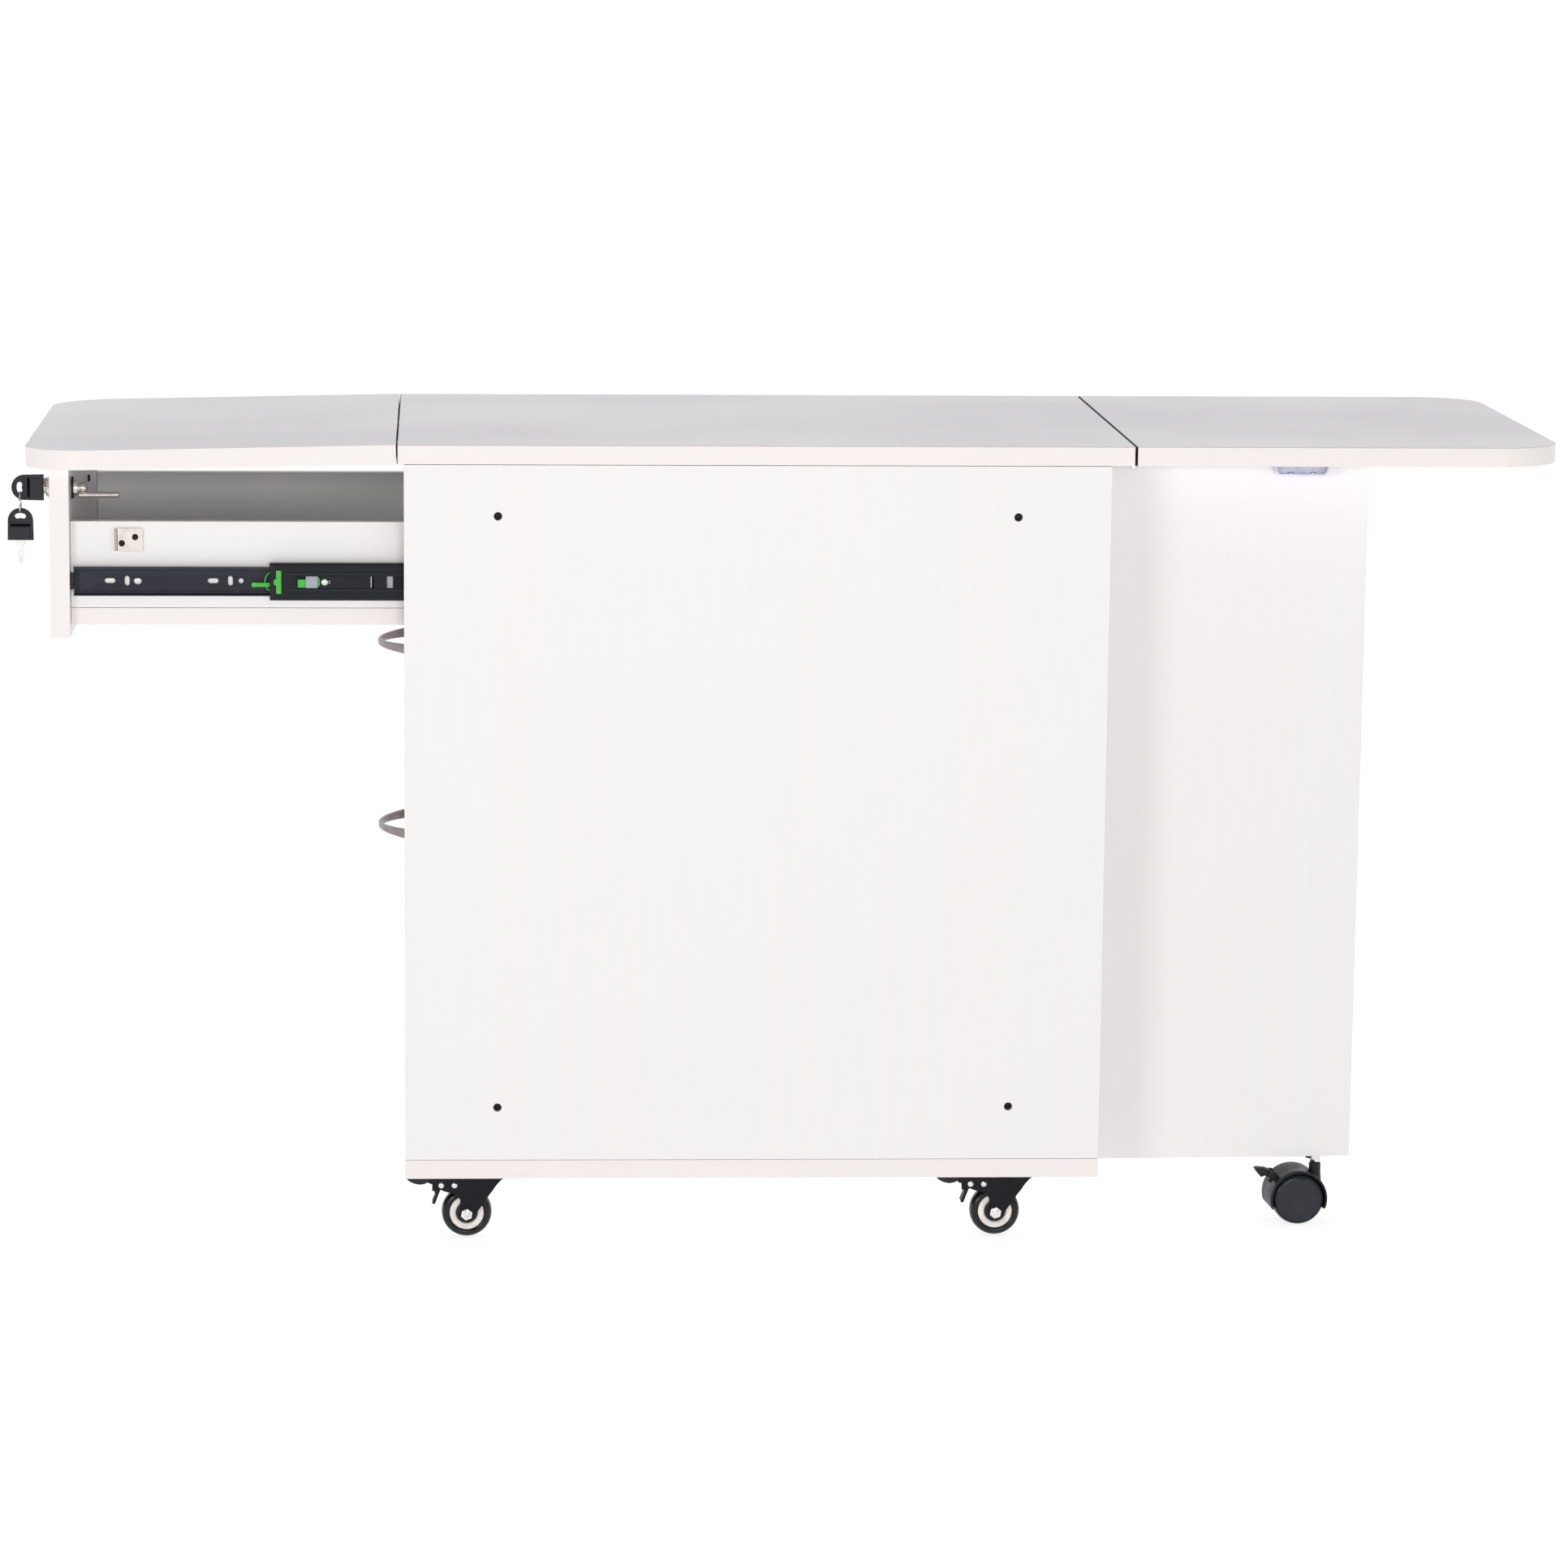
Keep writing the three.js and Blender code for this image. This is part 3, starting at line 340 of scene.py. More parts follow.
def tube(path, radius, sides=14, closed=False):
    """A round bar along a list of points."""
    part = bmesh.new()
    count = len(path)
    rings = []
    side = None
    for i, point in enumerate(path):
        before = path[i - 1] if i or closed else point
        after = path[(i + 1) % count] if i + 1 < count or closed else point
        ahead = (Vector(after) - Vector(before)).normalized()
        if side is None:
            side = ahead.orthogonal().normalized()
        side = (side - ahead * side.dot(ahead)).normalized()
        up = ahead.cross(side)
        width = radius(i / (count - 1)) if callable(radius) else radius
        turns = [2 * math.pi * k / sides for k in range(sides)]
        rings.append([part.verts.new(Vector(point) + (side * math.cos(a) + up * math.sin(a)) * width)
                      for a in turns])
    pairs = list(zip(rings, rings[1:]))
    if closed:
        pairs.append((rings[-1], rings[0]))
    for first, second in pairs:
        for k in range(sides):
            nxt = (k + 1) % sides
            part.faces.new((first[k], first[nxt], second[nxt], second[k]))
    if not closed:
        part.faces.new(rings[0][::-1])
        part.faces.new(rings[-1])
    bmesh.ops.recalc_face_normals(part, faces=part.faces)
    return part


def temporary(part, name="temporary"):
    mesh = bpy.data.meshes.new(name)
    part.to_mesh(mesh)
    part.free()
    thing = bpy.data.objects.new(name, mesh)
    bpy.context.scene.collection.objects.link(thing)
    return thing


def cut(part, *cutters):
    """part with each cutter taken out of it."""
    whole = temporary(part)
    tools = [temporary(cutter) for cutter in cutters]
    for tool in tools:
        modifier = whole.modifiers.new("cut", "BOOLEAN")
        modifier.operation = "DIFFERENCE"
        modifier.solver = "EXACT"
        modifier.object = tool
    bpy.context.view_layer.update()
    evaluated = whole.evaluated_get(bpy.context.evaluated_depsgraph_get())
    result = bmesh.new()
    result.from_mesh(evaluated.to_mesh())
    evaluated.to_mesh_clear()
    for thing in [whole, *tools]:
        mesh = thing.data
        bpy.data.objects.remove(thing)
        bpy.data.meshes.remove(mesh)
    bmesh.ops.remove_doubles(result, verts=result.verts, dist=1e-4)
    return result


def moved(part, offset=(0, 0, 0), turn=0.0, axis="Y", about=(0, 0, 0)):
    """part turned by degrees about a point, then shifted."""
    centre = Matrix.Translation(Vector(about))
    rotation = centre @ Matrix.Rotation(math.radians(turn), 4, axis) @ centre.inverted()
    matrix = Matrix.Translation(Vector(offset)) @ rotation
    bmesh.ops.transform(part, matrix=matrix, verts=part.verts)
    return part


class Piece:
    """A visible piece, put together from shapes in a frame of its own."""

    def __init__(self, name, origin, turn=0.0, mirror=False):
        self.name = name
        self.mesh = bmesh.new()
        self.materials = []
        flip = Matrix.Diagonal((1, -1 if mirror else 1, 1, 1))
        self.mirror = mirror
        self.matrix = Matrix.Translation(origin) @ Matrix.Rotation(turn, 4, "Z") @ flip @ Matrix.Scale(MM, 4)

    def add(self, part, material):
        if material not in self.materials:
            self.materials.append(material)
        index = self.materials.index(material)
        for face in part.faces:
            face.material_index = index
        mesh = bpy.data.meshes.new("added")
        part.to_mesh(mesh)
        part.free()
        self.mesh.from_mesh(mesh)
        bpy.data.meshes.remove(mesh)
        return self

    def done(self, body, slot, *nodes):
        bmesh.ops.transform(self.mesh, matrix=self.matrix, verts=self.mesh.verts)
        if self.mirror:
            bmesh.ops.reverse_faces(self.mesh, faces=self.mesh.faces)
        return finished(self.name, self.mesh, self.materials, body, nodes)


def finished(name, source, materials, body, nodes):
    """Makes the object, smooth but for its real edges, and rides it on its body."""
    mesh = bpy.data.meshes.new(name)
    source.to_mesh(mesh)
    source.free()
    for material in materials:
        mesh.materials.append(material)
    mesh.shade_smooth()
    mesh.set_sharp_from_angle(angle=math.radians(50))
    thing = bpy.data.objects.new(name, mesh)
    bpy.context.scene.collection.objects.link(thing)
    modifier = thing.modifiers.new("even", "WEIGHTED_NORMAL")
    modifier.keep_sharp = True
    modifier.weight = 100
    bpy.context.view_layer.update()
    evaluated = thing.evaluated_get(bpy.context.evaluated_depsgraph_get())
    final = bpy.data.meshes.new_from_object(evaluated)
    thing.modifiers.clear()
    thing.data = final
    final.name = name
    bpy.data.meshes.remove(mesh)
    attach(thing, body)
    if nodes:
        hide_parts(*nodes)
    return thing


def low_of(node):
    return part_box(node)[0]


def high_of(node):
    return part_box(node)[1]


# ---------------------------------------------------------------- boards

def is_big_face(normal, axis):
    return abs(normal.dot(axis)) > 0.9


# How far from a seam's end a face takes the painted shade.
SEAM_SHADE_REACH = 1.2 * MM


def board(node, face_material, edge_material, edge=0.5, inner=None, seams=()):
    """A board with its edges eased and its edge band told from its faces, its end faces painted dark as painted
    shade where it meets a leaf.
    """
    source = bmesh.new()
    source.from_mesh(frame["nodes"][node].data)
    bmesh.ops.remove_doubles(source, verts=source.verts, dist=1e-6)
    bmesh.ops.dissolve_limit(source, angle_limit=math.radians(0.5), verts=source.verts, edges=source.edges)
    axis = max(source.faces, key=lambda face: face.calc_area()).normal.copy()
    bevelled(source, edge * MM, 2, 40.0)
    materials = [face_material, edge_material]
    if inner is not None:
        materials.append(inner)
    ends = [(low_of(node) if end == "low" else high_of(node)).x for end in seams]
    if ends:
        materials.append(SEAM_SHADE)
    steel_line = low_of("top_drawer_near_wall").y, high_of("top_drawer_far_wall").y
    for face in source.faces:
        face.material_index = 0 if is_big_face(face.normal, axis) else 1
        x, y, _ = face.calc_center_median()
        # End faces at a seam take the painted shade of the gap.
        if any(abs(x - end) < SEAM_SHADE_REACH for end in ends):
            face.material_index = len(materials) - 1
        if inner is not None and not steel_line[0] - 1e-5 < y < steel_line[1] + 1e-5:
            face.material_index = 2
    return finished(f"{node}_board", source, materials, BODY_OF[node], [node])


board("base_panel", LAMINATE_LEVEL, BAND)
board("near_side_panel", LAMINATE, BAND_UPRIGHT)
board("far_side_panel", LAMINATE, BAND_UPRIGHT)
board("rear_panel", LAMINATE, BAND_UPRIGHT)
board("gate_panel", LAMINATE, BAND_UPRIGHT)
for leaf, seams in (("top_panel", ("low", "high")), ("front_leaf", ("high",)), ("back_leaf", ("low",))):
    board(leaf, WORKTOP, BAND, 0.8, seams=seams)
for drawer in DRAWERS:
    board(f"{drawer}_drawer_front", LAMINATE, BAND_UPRIGHT, 0.6)
board("top_drawer_bottom", LAMINATE_LEVEL, BAND)
for wall in ("near_wall", "far_wall", "back"):
    board(f"top_drawer_{wall}", LAMINATE_LEVEL, BAND)
for drawer in ("middle", "bottom"):
    board(f"{drawer}_drawer_box", LAMINATE_LEVEL, LAMINATE_LEVEL, 0.4, STEEL_BLACK)


# ---------------------------------------------------------------- fasteners

def cross_head(radius, height, material_depth=1.1):
    """A pan head with a cross recess, its top along +Z."""
    profile = [(0, 0), (radius, 0), (radius, height * 0.35), (radius * 0.85, height * 0.8),
               (radius * 0.5, height), (0, height)]
    head = lathe(profile, steps=28)
    arm, half = radius * 0.55, radius * 0.11
    low, high = height - material_depth, height + 1
    bars = [block(-arm, arm, -half, half, low, high, 0), block(-half, half, -arm, arm, low, high, 0)]
    return cut(head, *bars)


def facing(part, direction):
    """Turns a shape made along +Z to look along a direction."""
    turn = Vector((0, 0, 1)).rotation_difference(Vector(direction)).to_matrix().to_4x4()
    bmesh.ops.transform(part, matrix=turn, verts=part.verts)
    return part


def screws(name, origin, places, direction, radius, height, material, body, slot, turn=0.0, mirror=False):
    """Screw heads at places given in millimetres from an origin."""
    piece = Piece(name, origin, turn, mirror)
    for i, place in enumerate(places):
        head = moved(cross_head(radius, height), turn=23.0 + 31.0 * i, axis="Z")
        piece.add(moved(facing(head, direction), place), material)
    return piece.done(body, slot)


def panel_bolt(name, x, z, side):
    """A connecting bolt at the bottom of its hole in a side panel."""
    outward = -1 if side == "near" else 1
    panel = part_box(f"{side}_side_panel")
    surface = panel[0].y if side == "near" else panel[1].y
    recess = 6.0
    head = lathe([(0, 0), (3.7, 0), (3.7, 0.8), (3.0, 1.7), (1.2, 2.1), (0, 2.15)], steps=32)
    hexagon = hexagon_outline(0, 0, 1.75, 0)
    head = cut(head, prism(hexagon, 0.6, 4, "z", 0))
    piece = Piece(name, Vector((x, surface - outward * recess * MM, z)))
    piece.add(moved(facing(head, (0, outward, 0)), (0, outward * 0.2, 0)), SCREW_BLACK)
    piece.done("cabinet", "black_steel")


BOLT_INSET_X = (87.3, 572.2)
BOLT_INSET_Z = (50.7, 612.7)
for side in SIDES:
    corner = low_of(f"{side}_side_panel")
    for column, x in enumerate(BOLT_INSET_X):
        for row, z in enumerate(BOLT_INSET_Z):
            panel_bolt(f"side_bolt_{side}_{column}{row}", corner.x + x * MM, corner.z + z * MM, side)


# ---------------------------------------------------------------- handles

def bow_handle(drawer):
    """A flat strap bent to a bow, deepest at its feet and narrow at its tip."""
    node = f"{drawer}_drawer_handle"
    low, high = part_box(node)
    origin = Vector((high.x, (low.y + high.y) / 2, (low.z + high.z) / 2))
    reach = (high.x - low.x) / MM
    half_span = (high.y - low.y) / 2 / MM
    foot_height = (high.z - low.z) / MM
    tip_height, thickness, steps = 5.2, 4.0, 56
    part = bmesh.new()
    rings = []
    for i in range(steps + 1):
        t = -1 + 2 * i / steps
        bend = 1 - t * t
        centre = Vector((-(reach - thickness / 2) * bend, (half_span - thickness / 2) * t, 0))
        slope = 2 * (reach - thickness / 2) * t
        ahead = Vector((slope, half_span - thickness / 2, 0)).normalized()
        outward = Vector((-ahead.y, ahead.x, 0))
        height = tip_height + (foot_height - tip_height) * abs(t) ** 1.5
        section = outline((-thickness / 2, -height / 2, 1.0), (thickness / 2, -height / 2, 1.0),
                          (thickness / 2, height / 2, 1.0), (-thickness / 2, height / 2, 1.0), steps=3)
        rings.append([part.verts.new(centre + outward * p.x + Vector((0, 0, p.y))) for p in section])
    count = len(rings[0])
    for first, second in zip(rings, rings[1:]):
        for k in range(count):
            nxt = (k + 1) % count
            part.faces.new((first[k], first[nxt], second[nxt], second[k]))
    part.faces.new(rings[0][::-1])
    part.faces.new(rings[-1])
    bmesh.ops.recalc_face_normals(part, faces=part.faces)
    piece = Piece(f"{drawer}_bow_handle", origin)
    piece.add(part, TAUPE)
    foot = half_span - thickness / 2
    for y in (-foot, foot):
        boss = [(0, 0), (4.2, 0), (4.2, 0.6), (3.4, 1.4), (3.0, 4.0), (0, 4.0)]
        piece.add(moved(lathe(boss, steps=28), turn=-90, axis="Y", offset=(0, y * 0.97, 0)), TAUPE)
    body = BODY_OF[node]
    piece.done(body, "taupe_metal", node)
    inside = Vector((high_of(f"{drawer}_drawer_front").x, origin.y, origin.z))
    heads = [(0, -foot * 0.97, 0), (0, foot * 0.97, 0)]
    screws(f"{drawer}_handle_screws", inside, heads, (1, 0, 0), 3.6, 2.4, SCREW_BLACK, body, "black_steel")


for drawer in DRAWERS:
    bow_handle(drawer)


# ---------------------------------------------------------------- drawer slides

def channel_outline(web, edge, half, sheet=1.2):
    """The section of a channel: its web's place, its flanges' edge and its half height."""
    toward = 1 if edge > web else -1
    inside = web + toward * sheet
    bend, crook = 2.0, 0.8
    lip = half - sheet
    return outline((web, -half, bend), (edge, -half, 0.5), (edge, -lip, 0.5), (inside, -lip, crook),
                   (inside, lip, crook), (edge, lip, 0.5), (edge, half, 0.5), (web, half, bend), steps=5)


def slide_piece(drawer, level, side):
    """A Piece whose origin is a slide member's front end, on the side panel's face, at mid height."""
    node = f"{drawer}_slide_{level}_{side}"
    low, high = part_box(node)
    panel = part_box(f"{side}_side_panel")
    face = panel[1].y if side == "near" else panel[0].y
    origin = Vector((low.x, face, (low.z + high.z) / 2))
    return Piece(f"{node}_member", origin, mirror=side == "far"), node, (high.x - low.x) / MM


def outer_slide(drawer, side):
    piece, node, length = slide_piece(drawer, "outer", side)
    body = prism(channel_outline(0.3, 11.0, 22.5), 0, length, "x", 0)
    holes = []
    for start in (20, 116, 212, 308):
        holes.append(prism(slot_outline(start, 0, 10, 4.8), -1, 2, "y", 0))
        holes.append(prism(slot_outline(start + 15, 0, 4.8, 9), -1, 2, "y", 0))
    piece.add(cut(body, *holes), STEEL_BLACK)
    for z in (-11.5, 11.5):
        piece.add(block(34, length - 4, 1.4, 1.9, z - 1.4, z + 1.4, 0.4), STEEL_BLACK)
    piece.done(BODY_OF[node], "black_steel", node)


def middle_slide(drawer, side):
    """The middle member: an embossed band along it, a window for the catch, and its bumper."""
    piece, node, length = slide_piece(drawer, "middle", side)
    body = prism(channel_outline(3.0, 10.6, 17.5), 0, length, "x", 0)
    band = 7.6
    body_cuts = [
        prism(outline((x0, -half, edge), (x1, -half, edge), (x1, half, edge), (x0, half, edge)), 1, 6, "y", 0)
        for x0, x1, half, edge in ((25.4, 46.8, 5.9, 0.6), (94, 97, 5.5, 0.3), (109, 114.6, 5.5, 0.3))
    ]
    piece.add(cut(body, *body_cuts), STEEL_BLACK)
    for z in (-band, band):
        piece.add(block(14, length - 6, 2.5, 3.2, z - 0.9, z + 0.9, 0.34, 3), STEEL_BLACK)
    for z in (-14.2, 14.2):
        piece.add(block(3, length - 3, 2.7, 3.2, z - 0.5, z + 0.5, 0.2), STEEL_BLACK)
    # The bumper is clipped on at the front, and the catch shows in the window.
    bumper = outline((5.9, -10.9, 0.8), (10.7, -10.9, 0.8), (10.7, 10.9, 0.8), (5.9, 10.9, 0.8),
                     (5.9, 3.0, 0.6), (3.6, 2.2, 1.2), (3.6, -2.2, 1.2), (5.9, -3.0, 0.6), steps=4)
    piece.add(prism(bumper, 1.7, 3.1, "y", 0.3), PLASTIC_GREEN)
    mark = [(0.9, 0), (1.6, 0), (1.6, 0.35), (0.9, 0.35), (0.9, 0)]
    piece.add(moved(facing(lathe(mark, steps=24), (0, -1, 0)), (5.6, 1.95, 0)), PLASTIC_GREEN)
    # A plate shows behind the second slot, and a bright edge in the first.
    piece.add(block(93.0, 94.7, 3.9, 4.6, -5.2, 5.2, 0.2), ZINC)
    piece.add(block(108.2, 115.4, 4.0, 4.8, -6.2, 6.2, 0.2), PLASTIC_GREY)
    piece.add(block(25.8, 34.0, 4.0, 6.0, -5.5, 2.4, 0.4), PLASTIC_GREEN)
    catch = outline((44.0, -5.5), (45.0, -5.5, 1.6), (46.5, -2.6, 1.6), (46.5, 2.6, 1.6), (45.0, 5.5, 1.6),
                    (44.0, 5.5))
    piece.add(prism(catch, 4.0, 5.6, "y", 0.2), PLASTIC_GREEN)
    piece.add(block(33.4, 44.4, 2.6, 5.8, -5.6, 5.6, 0.5, 3), PLASTIC_GREY)
    rivet = [(0, 0), (3.2, 0), (3.2, 0.3), (2.7, 0.75), (2.2, 0.8), (2.0, 0.55), (1.3, 0.5), (1.1, 0.8),
             (0, 0.85)]
    for x in (51.0, length - 40, length - 12):
        piece.add(moved(facing(lathe(rivet, steps=28), (0, -1, 0)), (x, 3.1, 0)), NICKEL_BRIGHT)
    for z in (-0.9, 0.9):
        piece.add(block(54.8, 55.9, 2.75, 3.1, z - 0.35, z + 0.35, 0.1), NICKEL_BRIGHT)
    # The ball retainers run inside, past the ends of the drawer member.
    for z in (-15.4, 15.4):
        piece.add(block(2, 12, 5.0, 10.2, z - 0.8, z + 0.8, 0.3), PLASTIC_GREY)
    piece.done(BODY_OF[node], "black_steel", node)


def inner_slide(side):
    """The top drawer's own slide member, with its row of mounting holes."""
    piece, node, length = slide_piece("top", "inner", side)
    body = prism(channel_outline(12.7, 5.2, 13.5), 0, length, "x", 0)
    holes = []
    for start in (33.4, 129.4, 225.4):
        holes.append(prism(slot_outline(start, 0, 10, 4.6), 10, 14, "y", 0))
        holes.append(prism(slot_outline(start + 16, 0, 4.6, 9), 10, 14, "y", 0))
        holes.append(prism(slot_outline(start + 25.9, 0, 4.8, 4.8), 10, 14, "y", 0))
    piece.add(cut(body, *holes), STEEL_INNER)
    for z in (-9.4, 9.4):
        piece.add(block(8, length - 8, 11.1, 11.6, z - 0.5, z + 0.5, 0.2), STEEL_INNER)
    for x in (33.4 + 25.9, 225.4 + 25.9):
        head = facing(cross_head(3.9, 1.6, 0.9), (0, -1, 0))
        piece.add(moved(head, (x, 11.7, 0)), ZINC)
    stop = outline((0.4, -10.4, 1.4), (4.5, -10.4, 1.4), (4.5, 10.4, 1.4), (0.4, 10.4, 1.4))
    piece.add(prism(stop, 10.2, 11.6, "y", 0.3), STEEL_INNER)
    piece.add(block(-3.4, -0.2, 7.0, 11.4, -8.0, 8.0, 0.8), PLASTIC_BLACK)
    piece.done(BODY_OF[node], "black_steel", node)


for side in SIDES:
    for drawer in DRAWERS:
        outer_slide(drawer, side)
        middle_slide(drawer, side)
    inner_slide(side)


def release_lever(side):
    """The green lever that frees the drawer from its slide: a finger tail on a bowed spring frame."""
    node = f"release_lever_{side}"
    low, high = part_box(node)
    joint = PIVOT[f"{node}_tilt"]
    face = low.y if side == "near" else high.y
    piece = Piece(f"{node}_moulding", Vector((joint.x, face, joint.z)), mirror=side == "far")
    thick = 2.4
    start = (low.x - joint.x) / MM
    edge = start + 16.1
    tail = [*arc(start + 2.4, -3.05, 2.4, 55, 305, 16), Vector((edge, -5.0)), Vector((-8.4, -4.6)),
            Vector((-8.4, -0.9)), Vector((edge, -1.1))]
    piece.add(prism(tail, 0.2, thick, "y", 0.35), PLASTIC_GREEN)
    spring = [Vector((-8.4, 1.2, -8.0)), Vector((edge + 1.5, 1.2, -8.4))]
    for i in range(25):
        t = -1 + 2 * i / 24
        spring.append(Vector((edge - 3.4 * (1 - t * t), 1.2, 7.9 * t)))
    spring += [Vector((edge + 1.5, 1.2, 8.4)), Vector((-8.4, 1.2, 8.0))]
    piece.add(tube(spring, 0.7, 10), PLASTIC_GREEN)
    piece.add(block(-9.6, -8.0, 0.2, thick, -8.4, 8.4, 0.4), PLASTIC_GREEN)
    head = outline((-8.6, -3.0, 0.6), (0, -4.4, 2.0), (4.6, 0, 2.0), (0, 4.4, 2.0), (-8.6, 3.0, 0.6))
    piece.add(prism(head, 0.2, thick, "y", 0.35), PLASTIC_GREEN)
    piece.add(lathe([(0, 0.1), (3.0, 0.1), (3.0, 4.8), (0, 4.8)], axis="y", steps=24), PLASTIC_GREEN)
    rivet = [(0, 0), (2.1, 0), (2.1, 0.3), (1.5, 0.7), (0, 0.8)]
    piece.add(moved(facing(lathe(rivet, steps=24), (0, -1, 0)), (0, 0.2, 0)), ZINC)
    piece.done(BODY_OF[node], "green_plastic", node)


for side in SIDES:
    release_lever(side)


# ---------------------------------------------------------------- lock, keys and catch plate

def catch_plate():
    """A nickel plate on the drawer's near wall, with its front lip bent out."""
    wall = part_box("top_drawer_near_wall")
    origin = Vector((wall[0].x + 40.5 * MM, wall[0].y, wall[1].z - 6.3 * MM))
    piece = Piece("lock_catch_plate", origin)
    width, height, sheet = 27.0, 21.7, 1.4
    plate = outline((2.2, -height, 1.2), (width, -height, 1.6), (width, 0, 1.6), (2.2, 0, 1.2))
    holes = [(7.4, -14.1), (19.8, -8.3)]
    body = prism(plate, -sheet, 0, "y", 0.25)
    bore = [(0, -4), (3.0, -4), (3.0, 2), (0, 2)]
    piece.add(cut(body, *[lathe(bore, (x, 0, z), "y", 28) for x, z in holes]), NICKEL)
    lip = [Vector((3.4, 0)), Vector((1.6, -0.2)), Vector((0.4, -1.2)), Vector((0, -3.4)), Vector((0.9, -3.6)),
           Vector((1.5, -2.0)), Vector((2.6, -1.4)), Vector((3.6, -1.4))]
    piece.add(prism(lip, -height + 0.3, -0.3, "z", 0.2), NICKEL)
    for i, (x, z) in enumerate(holes):
        head = moved(cross_head(3.4, 1.9, 1.0), turn=17 + 40 * i, axis="Z")
        piece.add(moved(facing(head, (0, -1, 0)), (x, 0.1, z)), SCREW_BLACK)
    piece.done("top_drawer", "nickel")


catch_plate()

LOCK_AXIS = PIVOT["lock_key_turn"]


def lock_cylinder():
    """The lock's case: a flared nose outside, a washer and a nut inside."""
    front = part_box("top_drawer_front")
    nose = (front[0].x - LOCK_AXIS.x) / MM
    inside = (front[1].x - LOCK_AXIS.x) / MM
    case_end = (high_of("lock_cylinder").x - LOCK_AXIS.x) / MM
    piece = Piece("lock_case", LOCK_AXIS)
    profile = [(5.3, 0.5), (5.85, 0.5), (5.85, 0.9), (5.6, 1.1), (5.85, 1.3), (5.6, 1.6), (5.85, 1.9),
               (5.85, 2.1), (7.8, 2.3), (8.6, 2.8), (10.2, nose - 0.8), (10.5, nose - 0.5),
               (10.5, nose - 0.3), (8.2, nose - 0.2), (8.2, inside + 3.6), (7.5, inside + 3.8),
               (7.5, case_end - 0.4), (7.1, case_end), (5.3, case_end), (5.3, 0.5)]
    piece.add(lathe(profile, axis="x", steps=64), NICKEL)
    washer = [(8.35, inside + 0.25), (10.8, inside + 0.25), (11.2, inside + 0.6), (11.2, inside + 1.2),
              (10.5, inside + 1.6), (8.35, inside + 1.6), (8.35, inside + 0.25)]
    piece.add(lathe(washer, axis="x", steps=64), NICKEL)
    nut = [(8.35, inside + 1.7), (10.0, inside + 1.7), (10.4, inside + 2.0), (10.4, inside + 3.0),
           (10.0, inside + 3.4), (8.35, inside + 3.4), (8.35, inside + 1.7)]
    notches = [moved(block(-1, 30, -0.9, 0.9, 8.9, 11, 0), turn=a, axis="X") for a in range(0, 360, 60)]
    piece.add(cut(lathe(nut, axis="x", steps=64), *notches), SCREW_BLACK)
    piece.done("top_drawer", "nickel", "lock_cylinder")


BOW_LENGTH, BOW_HALF = 30.0, 11.75


def kidney(u, v, reach, width, bend):
    """A bean-shaped outline along V, its ends bent towards +U."""
    half = reach / 2 - width / 2
    radius = bend
    sweep = math.degrees(half / radius)
    outer = arc(radius, 0, radius + width / 2, 180 - sweep, 180 + sweep, 12)
    inner = arc(radius, 0, radius - width / 2, 180 + sweep, 180 - sweep, 12)
    low_turn, high_turn = math.radians(180 + sweep), math.radians(180 - sweep)
    low_end = Vector((radius + radius * math.cos(low_turn), radius * math.sin(low_turn)))
    high_end = Vector((radius + radius * math.cos(high_turn), radius * math.sin(high_turn)))
    cap_low = arc(low_end.x, low_end.y, width / 2, 180 + sweep + 20, 360 + sweep - 20, 8)
    cap_high = arc(high_end.x, high_end.y, width / 2, -sweep + 20, 180 - sweep - 20, 8)
    points = [*outer, *cap_low, *inner, *cap_high]
    return [Vector((u + p.x, v + p.y)) for p in points]


def key_bow():
    """A key's moulded head: X from its round end at -30 to its square end at 0, flat in Y."""
    flare = 0.4
    def shape(inset, end):
        radius = BOW_HALF - inset
        return [Vector((end, -BOW_HALF - flare + inset)), Vector((end, BOW_HALF + flare - inset)),
                *arc(-BOW_LENGTH + BOW_HALF, 0, radius, 90, 270, 36)]
    bow = prism(shape(0, 0), -1.75, 1.75, "y", 0.55, 3)
    hole = kidney(-BOW_LENGTH + 7.1, 0, 10.4, 4.8, 7.5)
    cutters = [prism(hole, -5, 5, "y", 0)]
    for side in (-1, 1):
        pocket = prism(shape(1.3, -16.6), 0, 1, "y", 0)
        cutters.append(moved(pocket, (0, 1.3 if side > 0 else -2.3, 0)))
        groove = block(-15.4, -12.9, 0, 3, -9.2, 9.2, 0.2)
        cutters.append(moved(groove, (0, 0.5 if side > 0 else -3.5, 0)))
    bow = cut(bow, *cutters)
    bmesh.ops.dissolve_limit(bow, angle_limit=math.radians(0.5), verts=bow.verts, edges=bow.edges)
    return bow


def key_groove_painted_shade():
    """The floor of the groove across the head, a dark block of painted shade."""
    return block(-15.5, -12.8, -0.7, 0.7, -9.3, 9.3, 0.1)


def key_grip():
    """The raised pad between the groove and the blade, on both faces."""
    pad = outline((-12.4, -9.0, 1.0), (-1.0, -9.0, 1.2), (-1.0, 9.0, 1.2), (-12.4, 9.0, 1.0))
    return prism(pad, -2.35, 2.35, "y", 0.7, 3)


